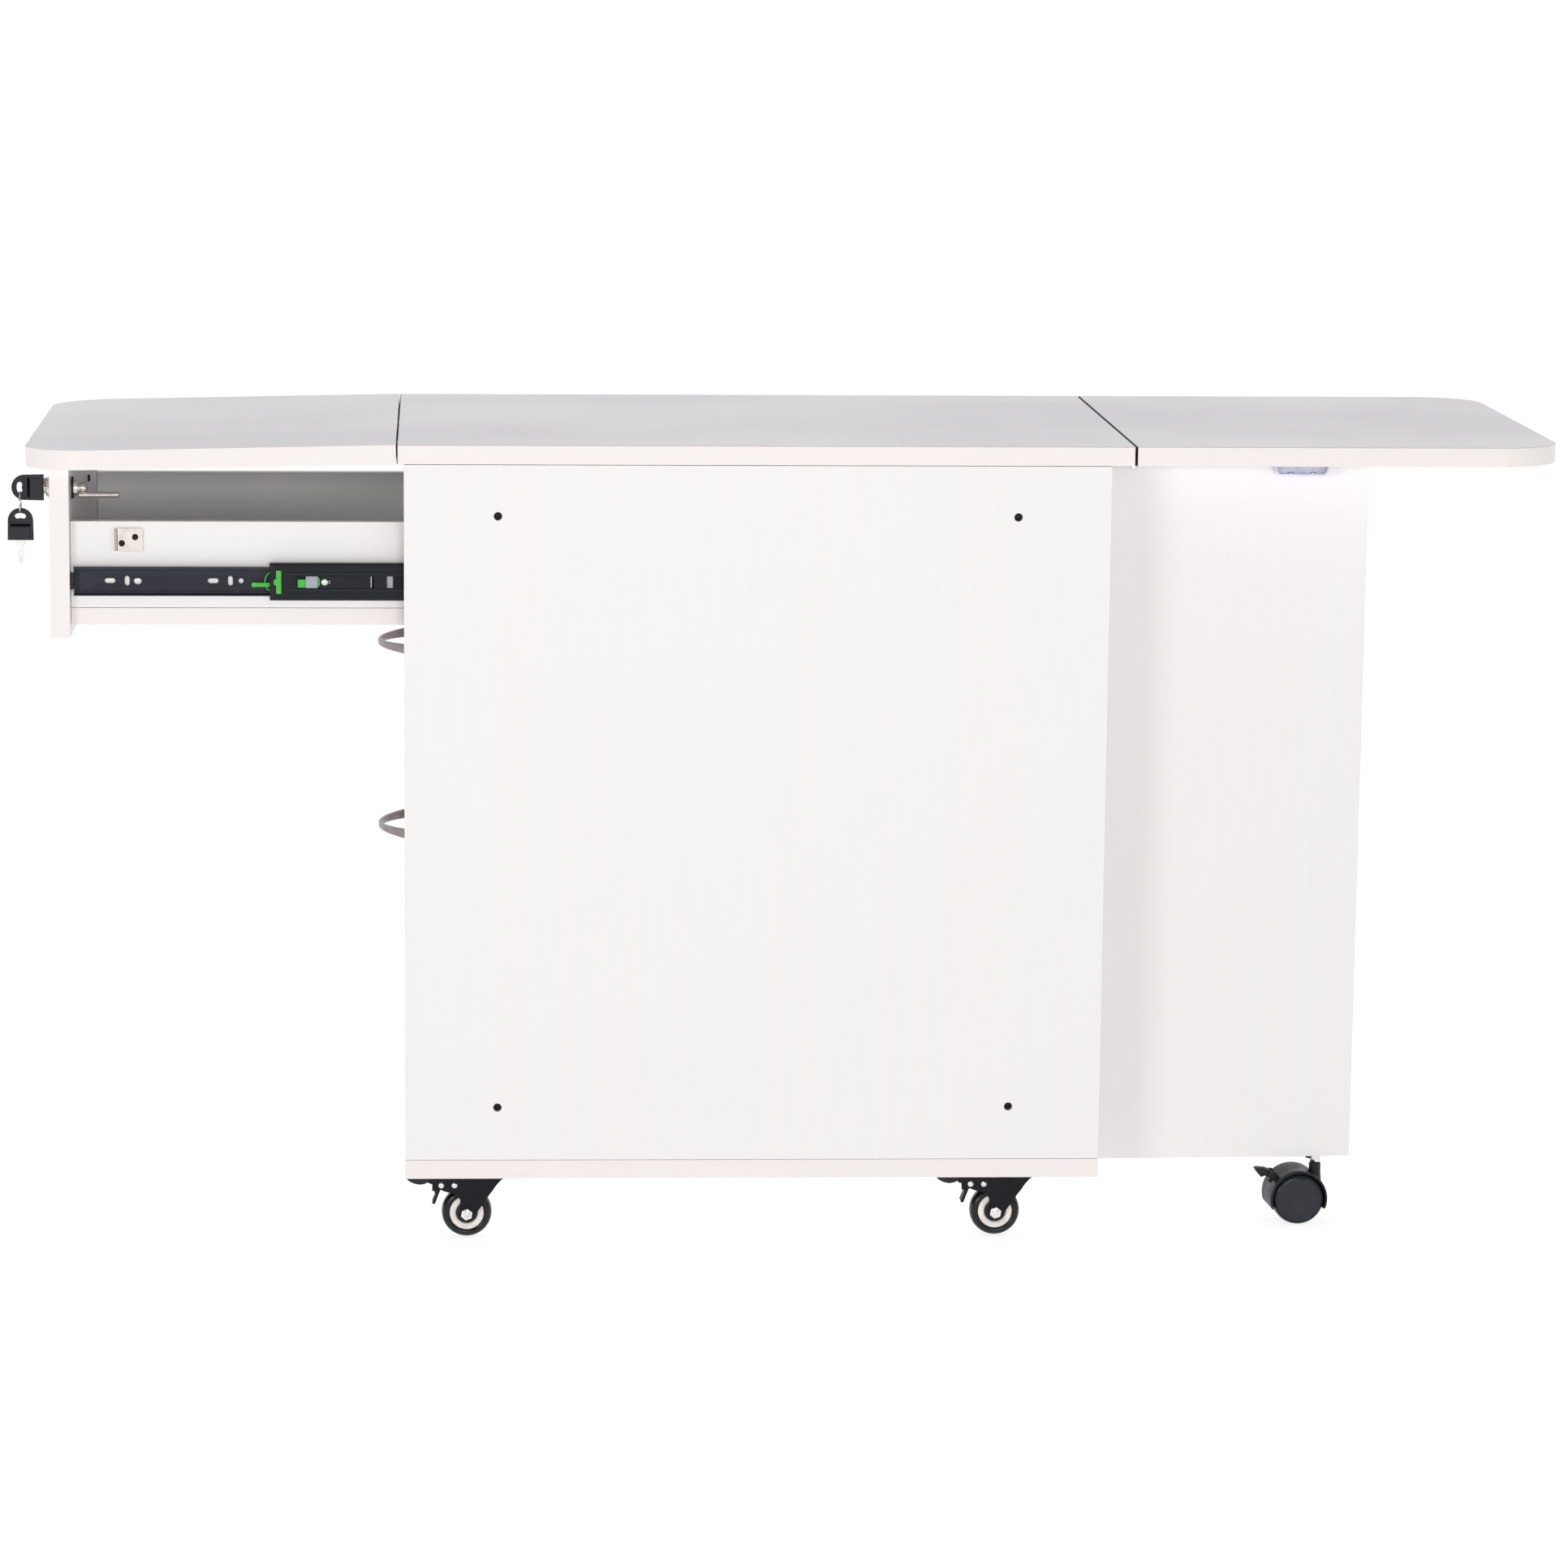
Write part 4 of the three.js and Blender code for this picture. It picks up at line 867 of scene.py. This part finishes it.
def key_blade():
    """A cut blade along +X from the bow: a collar, then two rows of waves and a milled groove."""
    top, bottom = [], []
    for i in range(41):
        t = i / 40
        x = 5.2 + 16.2 * t
        top.append(Vector((x, 2.75 - 0.55 * (0.5 + 0.5 * math.sin(x * 1.55)) - 1.4 * t ** 6)))
        bottom.append(Vector((x, -2.75 + 0.55 * (0.5 + 0.5 * math.sin(x * 1.55 + 1.9)) + 1.4 * t ** 6)))
    points = [Vector((-2.0, -4.5)), Vector((4.4, -4.5)), *bottom, *top[::-1], Vector((4.4, 4.5)),
              Vector((-2.0, 4.5))]
    blade = prism(points, -1.0, 1.0, "y", 0.22)
    grooves = []
    for side in (-1, 1):
        low = 0.45 if side > 0 else -2.45
        grooves.append(prism(slot_outline(10.5, 0.2 * side, 15, 1.5), low, low + 2, "y", 0))
    return cut(blade, *grooves)


def lock_key():
    """The key in the lock, and the core and crank that turn with it."""
    piece = Piece("lock_key_and_crank", LOCK_AXIS)
    piece.add(key_bow(), PLASTIC_KEY)
    piece.add(key_groove_painted_shade(), KEY_GROOVE_SHADE)
    piece.add(key_grip(), PLASTIC_KEY)
    end = (high_of("lock_key").x - LOCK_AXIS.x) / MM
    inside = (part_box("top_drawer_front")[1].x - LOCK_AXIS.x) / MM
    case_end = (high_of("lock_cylinder").x - LOCK_AXIS.x) / MM
    core = [(0, -0.2), (4.4, -0.2), (4.9, 0.3), (5.0, 0.8), (5.0, case_end - 0.3), (4.2, case_end),
            (4.2, inside + 9.5), (0, inside + 9.5)]
    piece.add(lathe(core, axis="x", steps=56), NICKEL)
    radius = 4.9
    dome = [(radius * math.sin(math.radians(a)), inside + 11.5 - radius * math.cos(math.radians(a)))
            for a in range(0, 181, 12)]
    piece.add(lathe(dome, axis="x", steps=48), NICKEL)
    start, drop = inside + 7.8, 6.6
    pin = [(0, start), (2.4, start), (2.7, start + 0.4), (2.6, end - 2.4), (2.3, end - 0.9), (1.3, end - 0.1),
           (0.6, end - 0.05), (0.4, end - 0.5), (0, end - 0.55)]
    piece.add(lathe(pin, (0, 0, -drop), "x", 32), NICKEL_DRAWN)
    piece.done("lock_key", "black_plastic", "lock_key")


def spare_key():
    """The second key, hanging by a split ring from the first."""
    swing = PIVOT["spare_key_swing"]
    low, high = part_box("spare_key")
    ring_radius, wire = 9.4, 0.65
    ring_centre = high.z / MM - ring_radius - wire
    bow_top = ring_centre - ring_radius + 3.6
    piece = Piece("spare_key_and_ring", Vector((swing.x, swing.y, 0)))
    parts = [(key_bow(), PLASTIC_KEY), (key_groove_painted_shade(), KEY_GROOVE_SHADE), (key_grip(), PLASTIC_KEY),
             (key_blade(), NICKEL_BRIGHT)]
    for part, material in parts:
        piece.add(moved(moved(part, turn=90, axis="Y"), (0, 0, bow_top - BOW_LENGTH)), material)
    coil = []
    for i in range(97):
        a = 2 * math.pi * 2 * i / 96 + 1.0
        y, z = ring_radius * math.sin(a), ring_centre + ring_radius * math.cos(a)
        coil.append(Vector((-0.62 + 1.24 * i / 96, y, z)))
    piece.add(tube(coil, wire * 0.92, 10), NICKEL)
    piece.done("spare_key", "black_plastic", "spare_key")


lock_cylinder()
lock_key()
spare_key()


def lock_bar():
    """The bar in the near panel's groove, with a stud for each drawer."""
    low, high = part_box("lock_bar")
    piece = Piece("lock_bar_strip", Vector(((low.x + high.x) / 2, low.y, low.z)))
    half = (high.x - low.x) / 2 / MM
    tall = (high.z - low.z) / MM
    thick = 7.4
    strip = block(-half, half, 0, thick, 0, tall, 0.6)
    slots = [prism(slot_outline(0, z, 4.5, 16), -1, thick + 1, "y", 0) for z in (60, tall - 20)]
    piece.add(cut(strip, *slots), ZINC)
    for drawer in DRAWERS:
        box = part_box(f"{drawer}_slide_outer_near")
        stud_z = ((box[0].z + box[1].z) / 2 - low.z) / MM + 24
        piece.add(block(-4, 4, thick - 1, (high.y - low.y) / MM, stud_z, stud_z + 4, 0.6), NICKEL)
    piece.done("lock_bar", "nickel", "lock_bar")


lock_bar()


# ---------------------------------------------------------------- hinges and stop

def back_leaf_hinge(side):
    """A butt hinge under the drop leaf: two leaves, five knuckles and its screws."""
    node = f"back_leaf_hinge_{side}"
    low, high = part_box(node)
    origin = Vector(((low.x + high.x) / 2, low.y, high.z))
    piece = Piece(f"{node}_butt", origin)
    length = (high.y - low.y) / MM
    radius, leaf = 2.5, 1.2
    half = (high.x - low.x) / 2 / MM
    knuckle = length / 5
    for i in range(5):
        y0, y1 = i * knuckle + 0.12, (i + 1) * knuckle - 0.12
        piece.add(lathe(disc_profile(radius, y0, y1, 0.25), (0, 0, -radius), "y", 28), ZINC)
    heads = []
    for sign in (-1, 1):
        edge = sorted((sign * 1.6, sign * half))
        plate = outline((edge[0], 0.4, 1.6), (edge[1], 0.4, 1.6), (edge[1], length - 0.4, 1.6),
                        (edge[0], length - 0.4, 1.6))
        piece.add(prism(plate, -leaf, -0.05, "z", 0.2), ZINC)
        for k, y in enumerate((10, length / 2, length - 10)):
            heads.append((sign * (11.5 if k != 1 else 14.5), y, -leaf + 0.5))
    piece.done(BODY_OF[node], "zinc_plate", node)
    screws(f"{node}_screws", origin, heads, (0, 0, -1), 3.2, 1.3, ZINC, BODY_OF[node], "zinc_plate")


def gate_stop():
    """The frosted trough under the drop leaf that the gate swings against."""
    low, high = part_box("gate_stop")
    origin = Vector((low.x, low.y, high.z))
    piece = Piece("gate_stop_trough", origin)
    long, deep, wide = (high.x - low.x) / MM, (high.z - low.z) / MM, (high.y - low.y) / MM
    wall = 1.8
    outer = outline((0, 0), (1.5, -deep, 6.0), (long - 1.5, -deep, 6.0), (long, 0), steps=8)
    inner = outline((wall, 0), (1.5 + wall, -deep + wall, 4.4), (long - 1.5 - wall, -deep + wall, 4.4),
                    (long - wall, 0), steps=8)
    section = [*outer, *inner[::-1]]
    piece.add(prism(section, 0, wide, "y", 0.4), PLASTIC_FROSTED)
    rib = block(wall, long - wall, wide / 2 - 0.8, wide / 2 + 0.8, -deep + wall - 0.2, -1.0, 0.3)
    piece.add(rib, PLASTIC_FROSTED)
    for x in (long * 0.3, long * 0.7):
        head = facing(cross_head(3.0, 1.4, 0.8), (0, 0, 1))
        piece.add(moved(head, (x, wide * 0.25, -deep + wall - 0.1)), ZINC)
    piece.done("cabinet", "zinc_plate", "gate_stop")


HINGE_KNUCKLES = 11


def gate_hinge(node, first):
    """One half of the gate's long hinge: its leaf, every other knuckle, and a row of screws."""
    cad = frame["nodes"][node].data
    pin = PIVOT["gate_swing"]
    low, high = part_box(node)
    farthest = max(cad.vertices, key=lambda v: (v.co.xy - pin.xy).length).co
    reach = (farthest.xy - pin.xy)
    leaf_side = 1 if node.endswith("moving") else -1
    radius, leaf, width = 1.6, 0.8, 20.0
    turn = math.atan2(reach.y, reach.x) + leaf_side * math.asin(radius / (reach.length / MM))
    piece = Piece(f"{node}_leaf", Vector((pin.x, pin.y, low.z)), turn, mirror=leaf_side < 0)
    tall = (high.z - low.z) / MM
    pitch = tall / HINGE_KNUCKLES
    plate = outline((2.2, 0.2, 1.0), (width, 0.2, 1.0), (width, tall - 0.2, 1.0), (2.2, tall - 0.2, 1.0))
    piece.add(prism(plate, -radius, leaf - radius, "y", 0.15), ZINC)
    for i in range(first, HINGE_KNUCKLES, 2):
        z0, z1 = i * pitch + 0.25, (i + 1) * pitch - 0.25
        piece.add(lathe([(1.0, z0), (radius, z0), (radius, z1), (1.0, z1), (1.0, z0)], steps=24), ZINC)
        piece.add(block(0.6, 2.6, -radius, leaf - radius, z0, z1, 0.1), ZINC)
        head = facing(cross_head(2.4, 0.6, 0.5), (0, 1, 0))
        piece.add(moved(head, (12.0, leaf - radius - 0.05, (z0 + z1) / 2)), ZINC)
    if first == 0:
        piece.add(lathe(disc_profile(0.85, 0, tall, 0.2), steps=20), NICKEL)
    piece.done(BODY_OF[node], "zinc_plate", node)


def leaf_barrels():
    """The barrel hinges let into the seam of the flip-over leaf show as round plugs when it is folded."""
    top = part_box("top_panel")
    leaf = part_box("front_leaf")
    mid_z = (top[0].z + top[1].z) / 2
    plug = [(0, 0), (6.4, 0), (6.7, 0.12), (6.7, 0.3), (0, 0.3)]
    faces = (("top", "cabinet", top[0].x, -1), ("leaf", "front_leaf", leaf[1].x - 0.35 * MM, 1))
    for name, body, x, direction in faces:
        piece = Piece(f"seam_barrels_{name}", Vector((x, 0, mid_z)))
        for y in (-190.0, 0.0, 190.0):
            face = cut(lathe(plug, steps=32), block(-1.3, 1.3, -5, 5, -1, 1, 0))
            piece.add(moved(facing(face, (direction, 0, 0)), (0, y, 0)), NICKEL)
        piece.done(body, "nickel")


for side in SIDES:
    back_leaf_hinge(side)
gate_stop()
gate_hinge("gate_hinge_fixed", 0)
gate_hinge("gate_hinge_moving", 1)
leaf_barrels()


# ---------------------------------------------------------------- cabinet casters

WHEEL_X, WHEEL_Z = -18.0, 24.0


def caster_plate(name, swivel):
    """The mounting plate under the base, with a screw in each corner."""
    piece = Piece(f"caster_plate_{name}", Vector((swivel.x, swivel.y, 0)))
    half = 30.0
    plate = outline((-half, -half, 5), (half, -half, 5), (half, half, 5), (-half, half, 5))
    piece.add(prism(plate, 62.3, 64.7, "z", 0.4), STEEL_FORK)
    for x in (-22, 22):
        for y in (-22, 22):
            piece.add(moved(facing(cross_head(4.2, 2.0, 1.2), (0, 0, -1)), (x, y, 62.6)), ZINC)
    piece.done("cabinet", "black_steel")


def fork_cheek(y0, y1):
    """One cheek of the fork, with its concave back edge and the round lug of its axle."""
    front = [(24.0, 61.6), (19.6, 59.8), (14.8, 57.0), (10.6, 52.4), (6.5, 46.3), (2.7, 41.4), (-3.2, 32.2),
             (-8.0, 25.8), (-11.6, 21.4)]
    rear = [(-25.0, 30.0), (-23.9, 37.0), (-26.6, 41.7), (-30.4, 43.8), (-38.3, 45.6), (-42.5, 47.4),
            (-46.6, 47.0), (-47.3, 44.4), (-48.4, 43.9), (-49.0, 46.6), (-51.0, 46.3), (-51.0, 55.2),
            (-52.4, 57.0), (-52.4, 61.6)]
    lug = arc(WHEEL_X, WHEEL_Z, 7.0, -26, -184, 22)
    return prism([*map(Vector, front), *lug, *map(Vector, rear)], y0, y1, "y", 0.35)


def caster_fork(name):
    node = f"caster_fork_{name}"
    swivel = PIVOT[f"caster_swivel_{name}"]
    piece = Piece(f"{node}_pressing", Vector((swivel.x, swivel.y, 0)))
    for sign in (-1, 1):
        y0, y1 = sorted((sign * 12.5, sign * 14.5))
        piece.add(fork_cheek(y0, y1), STEEL_FORK)
        rib0, rib1 = sorted((sign * 14.2, sign * 15.0))
        rib = outline((-11.2, 31, 2.2), (-4.0, 35, 2.2), (-2.6, 59, 2.2), (-11.2, 59, 2.2))
        piece.add(prism(rib, rib0, rib1, "y", 0.5, 3), STEEL_FORK)
        outward = (0, sign, 0)
        for x in (-42.3, -29.6):
            rivet = [(0, 0), (3.0, 0), (3.0, 0.5), (2.3, 1.3), (1.2, 1.6), (0.5, 1.5), (0.4, 1.0), (0, 1.0)]
            piece.add(moved(facing(lathe(rivet, steps=28), outward), (x, sign * 14.4, 52.0)), NICKEL_BRIGHT)
        n0, n1 = sorted((sign * 14.5, sign * 17.4))
        piece.add(prism(hexagon_outline(WHEEL_X, WHEEL_Z, 5.9, 20), n0, n1, "y", 0.7, 3), NICKEL_BRIGHT)
        end = [(0, 0), (3.1, 0), (3.1, 1.2), (2.6, 1.6), (1.6, 1.65), (1.4, 1.3), (0, 1.3)]
        piece.add(moved(facing(lathe(end, steps=28), outward), (WHEEL_X, sign * 17.2, WHEEL_Z)), NICKEL_BRIGHT)
    piece.add(block(-51.2, 20.6, -13, 13, 59.4, 61.6, 0.4), STEEL_FORK)
    race = [(0, 55.5), (13.2, 55.5), (14.6, 56.6), (17.5, 57.6), (19.4, 59.2), (19.8, 61.9), (0, 61.9)]
    piece.add(lathe(race, steps=56), STEEL_FORK)
    kingpin = [(0, 53.6), (3.2, 53.6), (4.4, 54.6), (4.6, 55.8), (0, 55.8)]
    piece.add(lathe(kingpin, steps=28), ZINC)
    piece.add(lathe(disc_profile(2.9, -14.6, 14.6, 0.1), (WHEEL_X, 0, WHEEL_Z), "y", 24), ZINC)
    piece.done(BODY_OF[node], "black_steel", node)


def caster_wheel(name):
    """A glossy tyre on a cream core, with a ball race's cup in the middle."""
    node = f"caster_wheel_{name}"
    centre = PIVOT[f"caster_roll_{name}"]
    piece = Piece(f"{node}_tyre", centre)
    shoulder = [(16.6, 8.7), (17.6, 9.7), (19.2, 10.0), (21.4, 9.2), (22.9, 7.2), (23.7, 4.4), (24.0, 1.6)]
    tyre = [(16.2, -8.0), *[(r, -y) for r, y in shoulder], *shoulder[::-1], (16.2, 8.0), (16.2, -8.0)]
    piece.add(lathe(tyre, axis="y", steps=72), TYRE)
    ring = [(10.5, 8.6), (10.9, 9.2), (11.8, 9.5), (14.2, 9.6), (15.8, 9.2), (16.3, 8.6)]
    core = [(10.0, -7.6), *[(r, -y) for r, y in ring], (16.4, -7.6), (16.4, 7.6), *ring[::-1], (10.0, 7.6),
            (10.0, -7.6)]
    piece.add(lathe(core, axis="y", steps=72), HUB_CREAM)
    hub = [(3.2, -11.2), (6.4, -11.2), (7.0, -10.6), (7.2, -8.6), (8.6, -8.2), (10.1, -7.6), (10.1, 7.6),
           (8.6, 8.2), (7.2, 8.6), (7.0, 10.6), (6.4, 11.2), (3.2, 11.2), (3.2, -11.2)]
    piece.add(lathe(hub, axis="y", steps=56), PLASTIC_BLACK)
    piece.done(BODY_OF[node], "tyre", node)


def caster_brake(name):
    """The foot pedal and the sprung steel tab that it presses on the tyre."""
    node = f"caster_brake_{name}"
    swivel = PIVOT[f"caster_swivel_{name}"]
    piece = Piece(f"{node}_pedal", Vector((swivel.x, swivel.y, 0)))
    cap = [(-52.6, 57.0), (-54.8, 61.2), (-73.0, 61.2), (-74.8, 60.0), (-75.2, 58.2), (-72.6, 55.8),
           (-68.0, 53.6), (-63.0, 52.6), (-58.5, 53.2), (-55.0, 54.8)]
    piece.add(prism(cap, -15.0, 15.0, "y", 0.9, 3), PLASTIC_BLACK)
    for i in range(5):
        x = -71.0 + 3.6 * i
        piece.add(block(x, x + 1.5, -12.5, 12.5, 61.0, 61.75, 0.3), PLASTIC_BLACK)
    arm = [(-23.6, 49.4), (-23.6, 54.6), (-40.0, 55.6), (-53.6, 56.4), (-55.0, 53.6), (-52.0, 52.4),
           (-44.0, 50.4), (-34.0, 48.6)]
    piece.add(prism(arm, -11.0, 11.0, "y", 0.5), STEEL_FORK)
    tab = [(-44.5, 50.5), (-46.0, 46.0), (-51.0, 33.4), (-50.6, 32.2), (-48.7, 31.8), (-47.9, 33.0),
           (-43.0, 46.0), (-41.8, 50.5)]
    piece.add(prism(tab, -7.0, 7.0, "y", 0.25), STEEL_FORK)
    hub = [(0, -11.6), (3.5, -11.6), (3.5, 11.6), (0, 11.6)]
    piece.add(lathe(hub, (-28.8, 0, 51.5), "y", 28), STEEL_FORK)
    piece.done(BODY_OF[node], "black_plastic", node)


for end in ("front", "rear"):
    for side in SIDES:
        label = f"{end}_{side}"
        caster_plate(label, PIVOT[f"caster_swivel_{label}"])
        caster_fork(label)
        caster_wheel(label)
        caster_brake(label)


# ---------------------------------------------------------------- gate caster

GATE_SWIVEL = PIVOT["gate_caster_swivel"]
GATE_AXLE = PIVOT["gate_caster_roll"]
GATE_TURN = math.atan2(GATE_SWIVEL.y - GATE_AXLE.y, GATE_SWIVEL.x - GATE_AXLE.x)
GATE_FLOOR = Vector((GATE_SWIVEL.x, GATE_SWIVEL.y, 0))
TWIN_TRAIL, TWIN_RADIUS = 19.3, 25.0
LEVER_X, LEVER_Z = -42.8, 46.0
SWIVEL_OFF_LINE = math.radians(2.8)


def gate_hood():
    """The hood over the twin wheels, with its stem and the slot for the brake lever."""
    piece = Piece("gate_caster_hood_shell", GATE_FLOOR, GATE_TURN)
    half, radius = 22.0, 28.0
    cover = arc(-TWIN_TRAIL, TWIN_RADIUS, radius, -20, 200, 72)
    body = prism(cover, -half, half, "y", 1.6, 4)
    cutters = []
    for side in (-1, 1):
        low, high = sorted((side * 3.0, side * (half + 4)))
        pocket = [(0, low), (TWIN_RADIUS + 1.0, low), (TWIN_RADIUS + 1.0, high), (0, high)]
        cutters.append(lathe(pocket, (-TWIN_TRAIL, 0, TWIN_RADIUS), "y", 96))
    cutters.append(block(-75, -39.3, -5.5, 5.5, 38, 60, 0))
    cutters.append(lathe([(0, -6), (3.5, -6), (3.5, 6), (0, 6)], (-TWIN_TRAIL, 0, TWIN_RADIUS), "y", 24))
    piece.add(cut(body, *cutters), PLASTIC_BLACK)
    for sign in (-1, 1):
        ear0, ear1 = sorted((sign * 5.5, sign * 8.4))
        ear = arc(LEVER_X, LEVER_Z, 4.6, 20, 290, 18)
        piece.add(prism([*ear, Vector((-36.3, 42.0))], ear0, ear1, "y", 0.5), PLASTIC_BLACK)
    stem = [(0, 30), (7.2, 30), (6.2, 42), (5.65, 48), (5.65, 56.4), (5.2, 57.0), (0, 57.0)]
    piece.add(lathe(stem, steps=40), PLASTIC_BLACK)
    cup = [(0, 56.6), (3.4, 56.8), (4.4, 57.5), (5.0, 58.9), (5.15, 61.5), (5.0, 64.6), (0, 64.6)]
    piece.add(lathe(cup, steps=40), NICKEL_BRIGHT)
    piece.add(moved(block(-9.5, -4.6, -2.0, 2.0, 61.4, 63.2, 0.4), turn=12, about=(-7, 0, 62)), PLASTIC_BLACK)
    pin = [(0, -8.3), (1.4, -8.3), (1.4, 8.3), (0, 8.3)]
    piece.add(lathe(pin, (LEVER_X, 0, LEVER_Z), "y", 20), ZINC)
    piece.done("gate_caster", "black_plastic", "gate_caster_hood")


def gate_wheels():
    """Twin wheels with a dished glossy disc on each outer face."""
    piece = Piece("gate_caster_twin_wheels", GATE_AXLE, GATE_TURN)
    inner, outer = 3.6, 20.6
    profile = [(0, inner), (20.0, inner), (23.6, inner + 0.6), (24.8, inner + 2.2), (25.0, inner + 5.0),
               (25.0, outer - 4.2), (24.6, outer - 2.4), (23.8, outer - 1.0), (22.9, outer - 0.35),
               (22.3, outer - 0.8), (21.6, outer - 0.2), (20.0, outer + 0.15), (16.0, outer + 0.1),
               (10.0, outer - 0.1), (5.0, outer - 0.25), (0, outer - 0.3)]
    for sign in (-1, 1):
        disc = lathe([(r, sign * y) for r, y in profile], axis="y", steps=96)
        bmesh.ops.recalc_face_normals(disc, faces=disc.faces)
        piece.add(disc, WHEEL_DISC)
    piece.add(lathe([(0, -4.4), (3.0, -4.4), (3.0, 4.4), (0, 4.4)], axis="y", steps=28), ZINC)
    piece.done("gate_caster_wheels", "tyre", "gate_caster_wheels")


def gate_lever():
    """The arrow-headed brake lever."""
    piece = Piece("gate_caster_brake_lever", GATE_FLOOR, GATE_TURN)
    side = [(-0.4, 3.4), (-3.0, 5.2), (-5.6, 6.3), (-15.2, 7.3), (-16.8, 6.6), (-16.9, 5.4), (-13.8, 1.4),
            (-10.9, -1.9), (-9.0, -1.4), (-7.5, -0.3), (-4.6, -2.2), (-2.4, -3.2), (0.2, -3.4), (2.8, -0.2)]
    body = prism([Vector((LEVER_X + x, LEVER_Z + z)) for x, z in side], -5.0, 5.0, "y", 0.6, 3)
    bore = lathe([(0, -9), (1.7, -9), (1.7, 9), (0, 9)], (LEVER_X, 0, LEVER_Z), "y", 20)
    piece.add(cut(body, bore), PLASTIC_BLACK)
    for i in range(3):
        x = LEVER_X - 14.2 + 2.8 * i
        z = LEVER_Z + 7.2 - 0.26 * i
        piece.add(block(x, x + 1.0, -4.0, 4.0, z - 0.3, z + 0.3, 0.2), PLASTIC_BLACK)
    piece.done("gate_caster_lever", "black_plastic", "gate_caster_lever")


def gate_socket():
    """The two screws of the caster's socket under the gate."""
    line = GATE_SWIVEL - PIVOT["gate_swing"]
    gate_turn = math.atan2(line.y, line.x) + SWIVEL_OFF_LINE
    piece = Piece("gate_caster_socket", GATE_FLOOR, gate_turn)
    for x in (-24.0, 24.0):
        piece.add(moved(facing(cross_head(2.2, 1.1, 0.7), (0, 0, -1)), (x, 0, 65.0)), SCREW_BLACK)
    piece.done("gate", "black_steel")


gate_hood()
gate_wheels()
gate_lever()
gate_socket()


# ---------------------------------------------------------------- studio

def studio():
    size = 60.0
    mesh = bpy.data.meshes.new("floor")
    corners = [(-size, -size, 0), (size, -size, 0), (size, size, 0), (-size, size, 0)]
    mesh.from_pydata([(x, y, -0.0006) for x, y, _ in corners], [], [(0, 1, 2, 3)])
    floor = bpy.data.objects.new("studio_floor", mesh)
    bpy.context.scene.collection.objects.link(floor)
    graph = Graph("studio_floor")
    graph.set(Base_Color=(0.36, 0.36, 0.365, 1), Roughness=0.9, Specular_IOR_Level=0.1)
    graph.set(Emission_Color=(1, 1, 1, 1), Emission_Strength=0.82)
    mesh.materials.append(graph.material)

    world = bpy.data.worlds.new("studio")
    bpy.context.scene.world = world
    world.use_nodes = True
    tree = world.node_tree
    place = tree.nodes.new("ShaderNodeTexCoord")
    split = tree.nodes.new("ShaderNodeSeparateXYZ")
    tree.links.new(place.outputs["Generated"], split.inputs[0])

    def ramp(axis, low, high, at_low, at_high):
        node = tree.nodes.new("ShaderNodeMapRange")
        tree.links.new(split.outputs[axis], node.inputs["Value"])
        for key, value in (("From Min", low), ("From Max", high), ("To Min", at_low), ("To Max", at_high)):
            node.inputs[key].default_value = value
        return node.outputs["Result"]

    both = tree.nodes.new("ShaderNodeMath")
    both.operation = "MULTIPLY"
    tree.links.new(ramp("Z", 0.12, 0.7, 1.0, 0.62), both.inputs[0])
    tree.links.new(ramp("Y", -0.9, 0.1, 0.06, 1.0), both.inputs[1])
    tree.links.new(both.outputs[0], tree.nodes["Background"].inputs["Strength"])
    tree.nodes["Background"].inputs["Color"].default_value = (1, 1, 1, 1)

    def area(name, place, target, size_x, size_y, power):
        data = bpy.data.lights.new(name, "AREA")
        data.shape = "RECTANGLE"
        data.size, data.size_y, data.energy = size_x, size_y, power
        lamp = bpy.data.objects.new(name, data)
        lamp.location = place
        lamp.rotation_euler = (Vector(target) - Vector(place)).to_track_quat("-Z", "Y").to_euler()
        bpy.context.scene.collection.objects.link(lamp)

    area("left", (-2.9, -4.5, 1.2), (0, 0, 0.5), 1.4, 0.7, 55)
    area("right", (3.4, -4.0, 1.2), (0, 0, 0.5), 1.4, 0.7, 10)
    area("front", (0.5, -6.2, 1.3), (0, 0, 0.5), 2.0, 0.7, 74)
    bpy.context.scene.view_settings.view_transform = "Standard"


def camera():
    data = bpy.data.cameras.new("camera")
    data.sensor_width = 36.0
    data.lens = 6986.8 / 1932 * 36.0
    data.shift_x, data.shift_y = 0.06, 0.08
    data.clip_start, data.clip_end = 0.1, 200.0
    thing = bpy.data.objects.new("camera", data)
    thing.location = (-0.323, -5.4919, 1.3081)
    yaw, pitch, roll = math.radians(2.551), math.radians(10.615), math.radians(0.421)
    lean = Matrix.Rotation(math.pi / 2 - pitch, 4, "X")
    turn = Matrix.Rotation(-yaw, 4, "Z") @ lean @ Matrix.Rotation(roll, 4, "Z")
    thing.rotation_euler = turn.to_euler()
    bpy.context.scene.collection.objects.link(thing)
    bpy.context.scene.camera = thing


studio()
camera()
